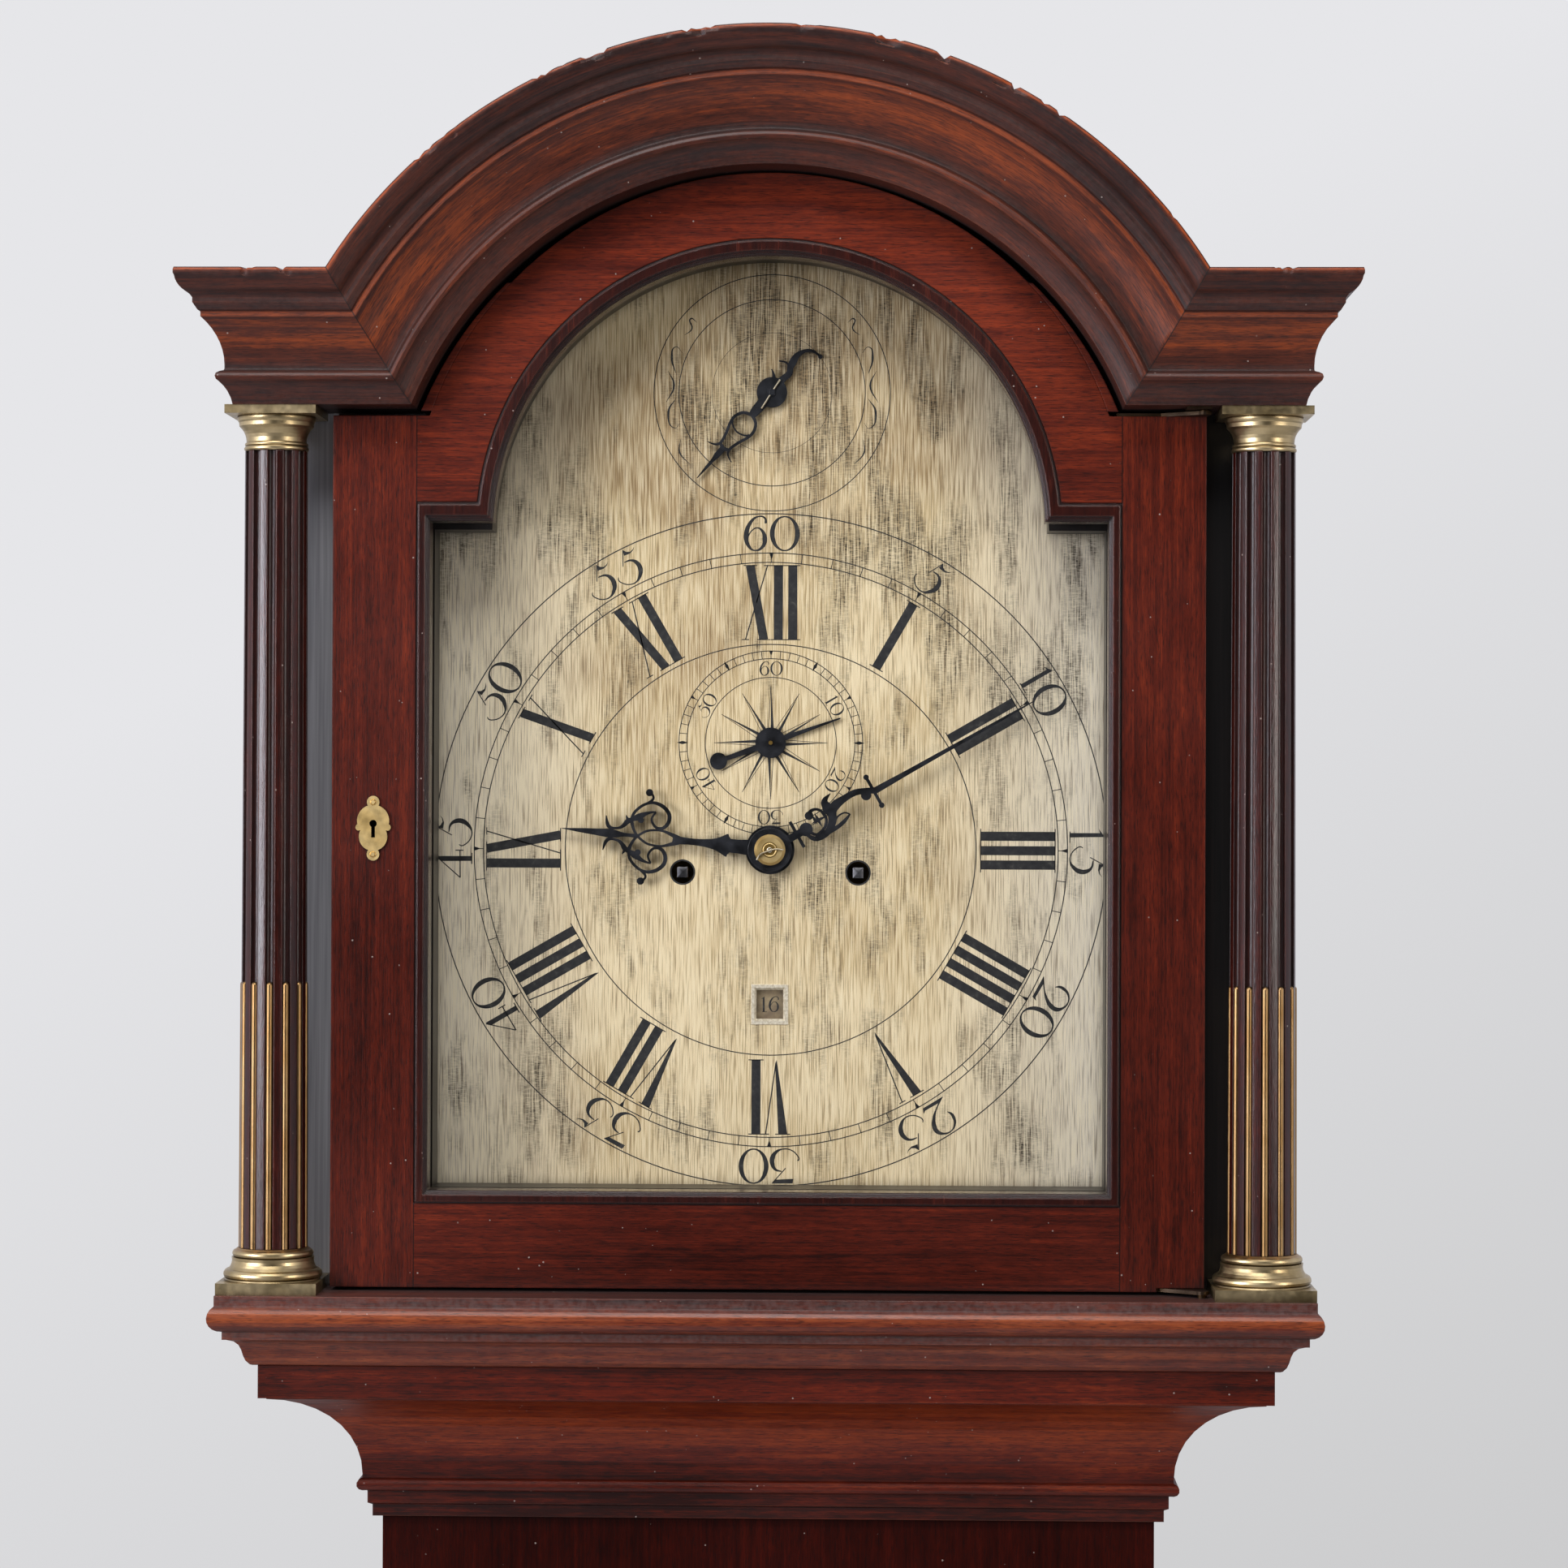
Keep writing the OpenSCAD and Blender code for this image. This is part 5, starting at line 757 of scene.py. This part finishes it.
# Gut lines. Twisted gut, yellow-brown and slightly glossy, wound on the barrels and tied off at the seat board, with
# two falls over each weight.
gut, tree = new_material("twisted_gut")
twist = add(tree, "TexWave", {"Vector": add(tree, "TexCoord")["Object"], "Scale": 500.0},
    bands_direction="DIAGONAL")[0]
skin = add(tree, "ValToRGB", {0: twist}, stops=[(0.2, "#8a6a3c"), (0.8, "#c8a870")])[0]
add(tree, "OutputMaterial", {0: add(tree, "BsdfPrincipled", {"Base Color": skin, "Roughness": 0.4})[0]})
dress("line_leads", gut)
travel = {joint["name"]: joint.get("range_m") for joint in frame["record"]["behaviour"]["joints"]}
for train in ("going", "strike"):
    low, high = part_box(train + "_line")
    radius = (high.y - low.y) / 2
    falls = bmesh.new()
    for x in (low.x + radius, high.x - radius):
        ends = [bmesh.ops.create_circle(falls, cap_ends=True, segments=16, radius=radius,
            matrix=Matrix.Translation((x, low.y + radius, z)))["verts"] for z in (low.z, high.z)]
        edges = {edge for end in ends for vert in end for edge in vert.link_edges}
        bmesh.ops.bridge_loops(falls, edges=list(edges))
    bmesh.ops.recalc_face_normals(falls, faces=falls.faces)
    tube = finished(train + "_falls", falls, gut, train + "_drive", 40)
    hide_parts(train + "_line")
    rise = travel[train + "_weight_lift"][1]
    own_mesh(tube)

# Base frame of the hood. Torus and cyma planed in the solid; the torus is painted paler, a painted highlight on
# orange rubbed where hands push the hood back, and the fillets over and under it hold grey dust.
base_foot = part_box("hood_base_frame")[0].z
base_wood = mahogany("base_frame_mahogany", ("#2a0b05", "#5c210f", "#964820"), "x", shine=0.28, wear=0.8,
    foot=base_foot, shades=[(0, 0.6), (11, 0.66), (13, 0.55), (15.4, 0.5), (16, 0.5), (21, 0.7), (24, 0.76),
    (27, 0.45), (31, 0.4)], dust=[(0, 0.2), (11, 0.3), (12, 0.55), (15.5, 0.6), (16.5, 0.1), (24, 0.1),
    (26.6, 0.6), (31, 0.5)], polish=0.42)
dress("hood_base_frame", base_wood)

# Hood columns. Turned and fluted shafts, nearly black in the hollows, with capitals, bases and the reeds in their
# lower flutes of brass. They are pinned between base frame and cornice.
column_wood = mahogany("fluted_mahogany", ("#150504", "#38100a", "#65271a"), shine=0.17, wear=0.5)
dress("hood_columns", column_wood)
reed_foot, reed_top = 1.6585, 1.79
column_brass = brass("column_brass", "#cdb88e", "#94805a", 0.3, reeds=(reed_foot, reed_top))
dress("column_brasses", column_brass)

# Mask behind the door. A thin frame stained black round the dial; a dull grey sheen is painted on its left
# margin, a painted reflection of the light from the left.
mask_wood, tree = new_material("ebonised_mask")
spot = add(tree, "TexCoord")["Object"]
x = add(tree, "SeparateXYZ", {0: spot})["X"]
lines = add(tree, "VectorMath", {0: spot, 1: (900, 900, 14)}, operation="MULTIPLY")[0]
lines = add(tree, "TexNoise", {"Vector": lines, "Scale": 1.0, "Detail": 3.0})[0]
stain = add(tree, "ValToRGB", {0: lines}, stops=[(0.35, "#0d0908"), (0.7, "#1c1412")])[0]
# Painted reflection: the left margin is grey
painted_sheen = add(tree, "ValToRGB", {0: lines}, stops=[(0.35, "#98989e"), (0.7, "#b4b4ba")])[0]
painted_sheen_to = -0.1885
painted_sheen_margin = add(tree, "MapRange", {0: x, 1: painted_sheen_to, 2: painted_sheen_to + 0.0005, 3: 1.0, 4: 0.0})[0]
stain = add(tree, "Mix", {0: painted_sheen_margin, 6: stain, 7: painted_sheen}, data_type="RGBA")[2]
relief = add(tree, "Bump", {"Strength": 0.2, "Distance": 0.0002, "Height": lines})[0]
board = add(tree, "BsdfPrincipled", {"Base Color": stain, "Roughness": 0.42, "Normal": relief})
add(tree, "OutputMaterial", {0: board[0]})
dress("hood_front_frame", mask_wood)

# Cornice. One moulding, mitred from the straight wings into an arch of short lengths of mahogany and down the
# returns, and glued to the hood's boards. Its members are painted paler and darker by height: a painted highlight on
# the bead, the cavetto a warm orange-red, a line over it and the top lip rubbed to orange, and darker under the bead
# and on the fillets. Grey dust lies on the fillets, and the upper edge is chipped.
crest, inner = 1.9598, 0.1635
cornice_low, cornice_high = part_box("hood_cornice")
cornice_wood = mahogany("cornice_mahogany", ("#220a06", "#4c1e0e", "#944012"), "x", shine=0.32, wear=0.9,
    arch=(crest, inner), foot=cornice_low.z, shades=[(0, 0.36), (8, 0.38), (9.5, 0.42), (12, 0.55), (13.6, 0.4),
    (14.2, 0.25), (16.2, 0.3), (18, 0.42), (26, 0.62), (34, 0.6), (35.4, 0.45), (36, 0.68), (37.9, 0.66), (38.4, 0.2),
    (43, 0.2), (44.5, 0.3), (48, 0.38), (53, 0.2), (54, 0.5), (55, 0.9), (55.5, 0.2)], dust=[(0, 0.3), (8, 0.2),
    (9.5, 0), (13.8, 0.3), (16.4, 0.25), (17.5, 0.05), (35, 0.05), (38, 0.1), (38.8, 0.3), (43.4, 0.35), (44.5, 0.2),
    (50, 0.15), (53.5, 0.3), (55, 0)], polish=0.36)
# Its section in millimetres, out from the foot and up; the last two corners lie on the boards behind
section = [(0, 0), (0.6, 2.5), (1.9, 5.4), (3.3, 7.4), (5.15, 9.3), (6.1, 10), (6.6, 11.4), (6.2, 12.7), (4.8, 13.6),
    (3.3, 14.1), (3, 14.6)] + [(29 - 26 * cos(radians(a)), 16.4 + 26 * sin(radians(a))) for a in range(0, 50, 7)] + [
    (11.9, 36.2), (11.9, 38.1), (13.0, 38.7), (14.6, 41.2), (14.9, 41.6), (14.9, 43.6)] + [
    (13 + 8.6 * cos(radians(a)), 53.4 + 8.6 * sin(radians(a))) for a in range(-68, -6, 10)] + [
    (22, 53.2), (22, 54.6), (21.6, 55.7), (-41, 55.7), (-41, 0)]
overhang = 0.022
foot_x, front, back = cornice_high.x - overhang, cornice_low.y + overhang, cornice_high.y
board_x, board_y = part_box("hood_sides")[1].x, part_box("hood_front_frame")[0].y
wing_steps, arch_steps = 70, 110
# Chips lie in the top 3 mm, where noise of 14 mm and of 3 mm runs high
chipped_from, long_chips, short_chips, chip_depth = 0.053, 70, 330, 0.0036
cornice = bmesh.new()
members = []
for place, (out, up) in enumerate(section):
    out, up = out / 1000, up / 1000
    behind = place >= len(section) - 2
    x, y, z = foot_x + out, front - out, cornice_low.z + up
    if behind:
        x, y = board_x, board_y
    ring = inner + up
    meet = (ring ** 2 - (z - crest) ** 2) ** 0.5
    half = atan2(meet, z - crest)
    run = [(-x, back, z, False), (-x, y + (back - y) * 0.5, z, False)]
    run += [(-x + (x - meet) * step / wing_steps, y, z, False) for step in range(wing_steps + 1)]
    run += [(ring * sin(half * step / arch_steps), y, crest + ring * cos(half * step / arch_steps), True)
        for step in range(1 - arch_steps, arch_steps)]
    run += [(meet + (x - meet) * step / wing_steps, y, z, False) for step in range(wing_steps + 1)]
    run += [(x, y + (back - y) * 0.5, z, False), (x, back, z, False)]
    member = []
    for px, py, pz, arched in run:
        corner = Vector((px, py, pz))
        if up > chipped_from and not behind:
            # Splinters of a millimetre or two are lost, more of them on the arch
            lost = noise.noise(Vector((px, 3.1, pz)) * long_chips)
            lost += 0.7 * noise.noise(Vector((px, 7.7, pz)) * short_chips)
            lost = max(0.0, lost - (0.22 if arched else 0.34)) * chip_depth
            outwards = Vector((px, 0, pz - crest)) if arched else Vector((0, 0, 1))
            corner -= outwards.normalized() * lost
            corner.y += lost * 0.9
        member.append(cornice.verts.new(corner))
    members.append(member)
for one, other in zip(members, members[1:] + members[:1]):
    for place in range(len(one) - 1):
        cornice.faces.new((one[place], one[place + 1], other[place + 1], other[place]))
for end in (0, -1):
    cornice.faces.new([member[end] for member in members])
bmesh.ops.recalc_face_normals(cornice, faces=cornice.faces)
cornice_piece = finished("cornice", cornice, cornice_wood, "hood", 28)
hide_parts("hood_cornice")

# Hood door. Upright stiles between level rails, tenoned and glued, with the arch painted paler, painted light against
# the cornice's shade. Thin lippings glued to the arch's feet widen it to the cornice's sweep, and a dark polished
# bead holds the glass.
stile_joint, arch_foot, arch_head = 0.1514, 1.94, 2.04
door_wood = mahogany("door_mahogany", ("#260602", "#501608", "#842e10"), "x", joint=stile_joint, shine=0.3,
    wear=0.3, polish=0.27, paler=(arch_foot, arch_head, 0.1))
dress("hood_door_frame", door_wood)
bead_wood = mahogany("bead_mahogany", ("#160504", "#32100a", "#60281a"), shine=0.14, wear=0.5, polish=0.7)
dress("glazing_bead", bead_wood)

# The lippings fill what lies between the door's own arch and one round the cornice's centre
lip_foot, lip_rise, lip_depth, lip_steps = 2.0199, 0.055, 0.022, 24
door_crest, door_radius, lip_radius, thinnest = 1.9683, 0.1539, 0.1612, 0.0001
door_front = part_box("hood_door_frame")[0].y
for side, name in ((-1, "door_lipping_left"), (1, "door_lipping_right")):
    lip = bmesh.new()
    pairs = []
    for step in range(lip_steps + 1):
        z = lip_foot + lip_rise * step / lip_steps
        edge = (door_radius ** 2 - (z - door_crest) ** 2) ** 0.5
        sweep = max((lip_radius ** 2 - (z - crest) ** 2) ** 0.5, edge + thinnest)
        pairs.append([lip.verts.new((side * x, door_front, z)) for x in (edge, sweep)])
    for one, other in zip(pairs, pairs[1:]):
        lip.faces.new((*one, *reversed(other)))
    grown = bmesh.ops.extrude_face_region(lip, geom=lip.faces[:])["geom"]
    grown = [part for part in grown if isinstance(part, bmesh.types.BMVert)]
    bmesh.ops.translate(lip, vec=(0, lip_depth, 0), verts=grown)
    bmesh.ops.recalc_face_normals(lip, faces=lip.faces)
    finished(name, lip, door_wood, "hood_door", 30)

# Glass and fittings of the hood door. Thin clear crown glass, hardly seen but for a slight gloss; a cast escutcheon,
# a lock let into the stile, and two blackened straps whose pins turn in a plate under the cornice and in the base
# frame.
window_glass, tree = new_material("crown_glass")
ripple = add(tree, "TexNoise", {"Vector": add(tree, "TexCoord")["Object"], "Scale": 14.0, "Detail": 1.0})[0]
ripple = add(tree, "Bump", {"Strength": 0.05, "Distance": 0.001, "Height": ripple})[0]
pane = add(tree, "BsdfPrincipled", {"Base Color": linear("#0a0c0b"), "Roughness": 0.03, "Alpha": 0.05,
    "Normal": ripple})
add(tree, "OutputMaterial", {0: pane[0]})
dress("door_glass", window_glass)
hinge_brass = brass("blackened_hinge_brass", "#4a3e34", "#2a221c", 0.45)
for name in ("hood_hinge_straps", "hood_hinge_plates"):
    dress(name, hinge_brass)
dress("hood_escutcheon", pale_brass)
dress("hood_door_lock", lock_brass)
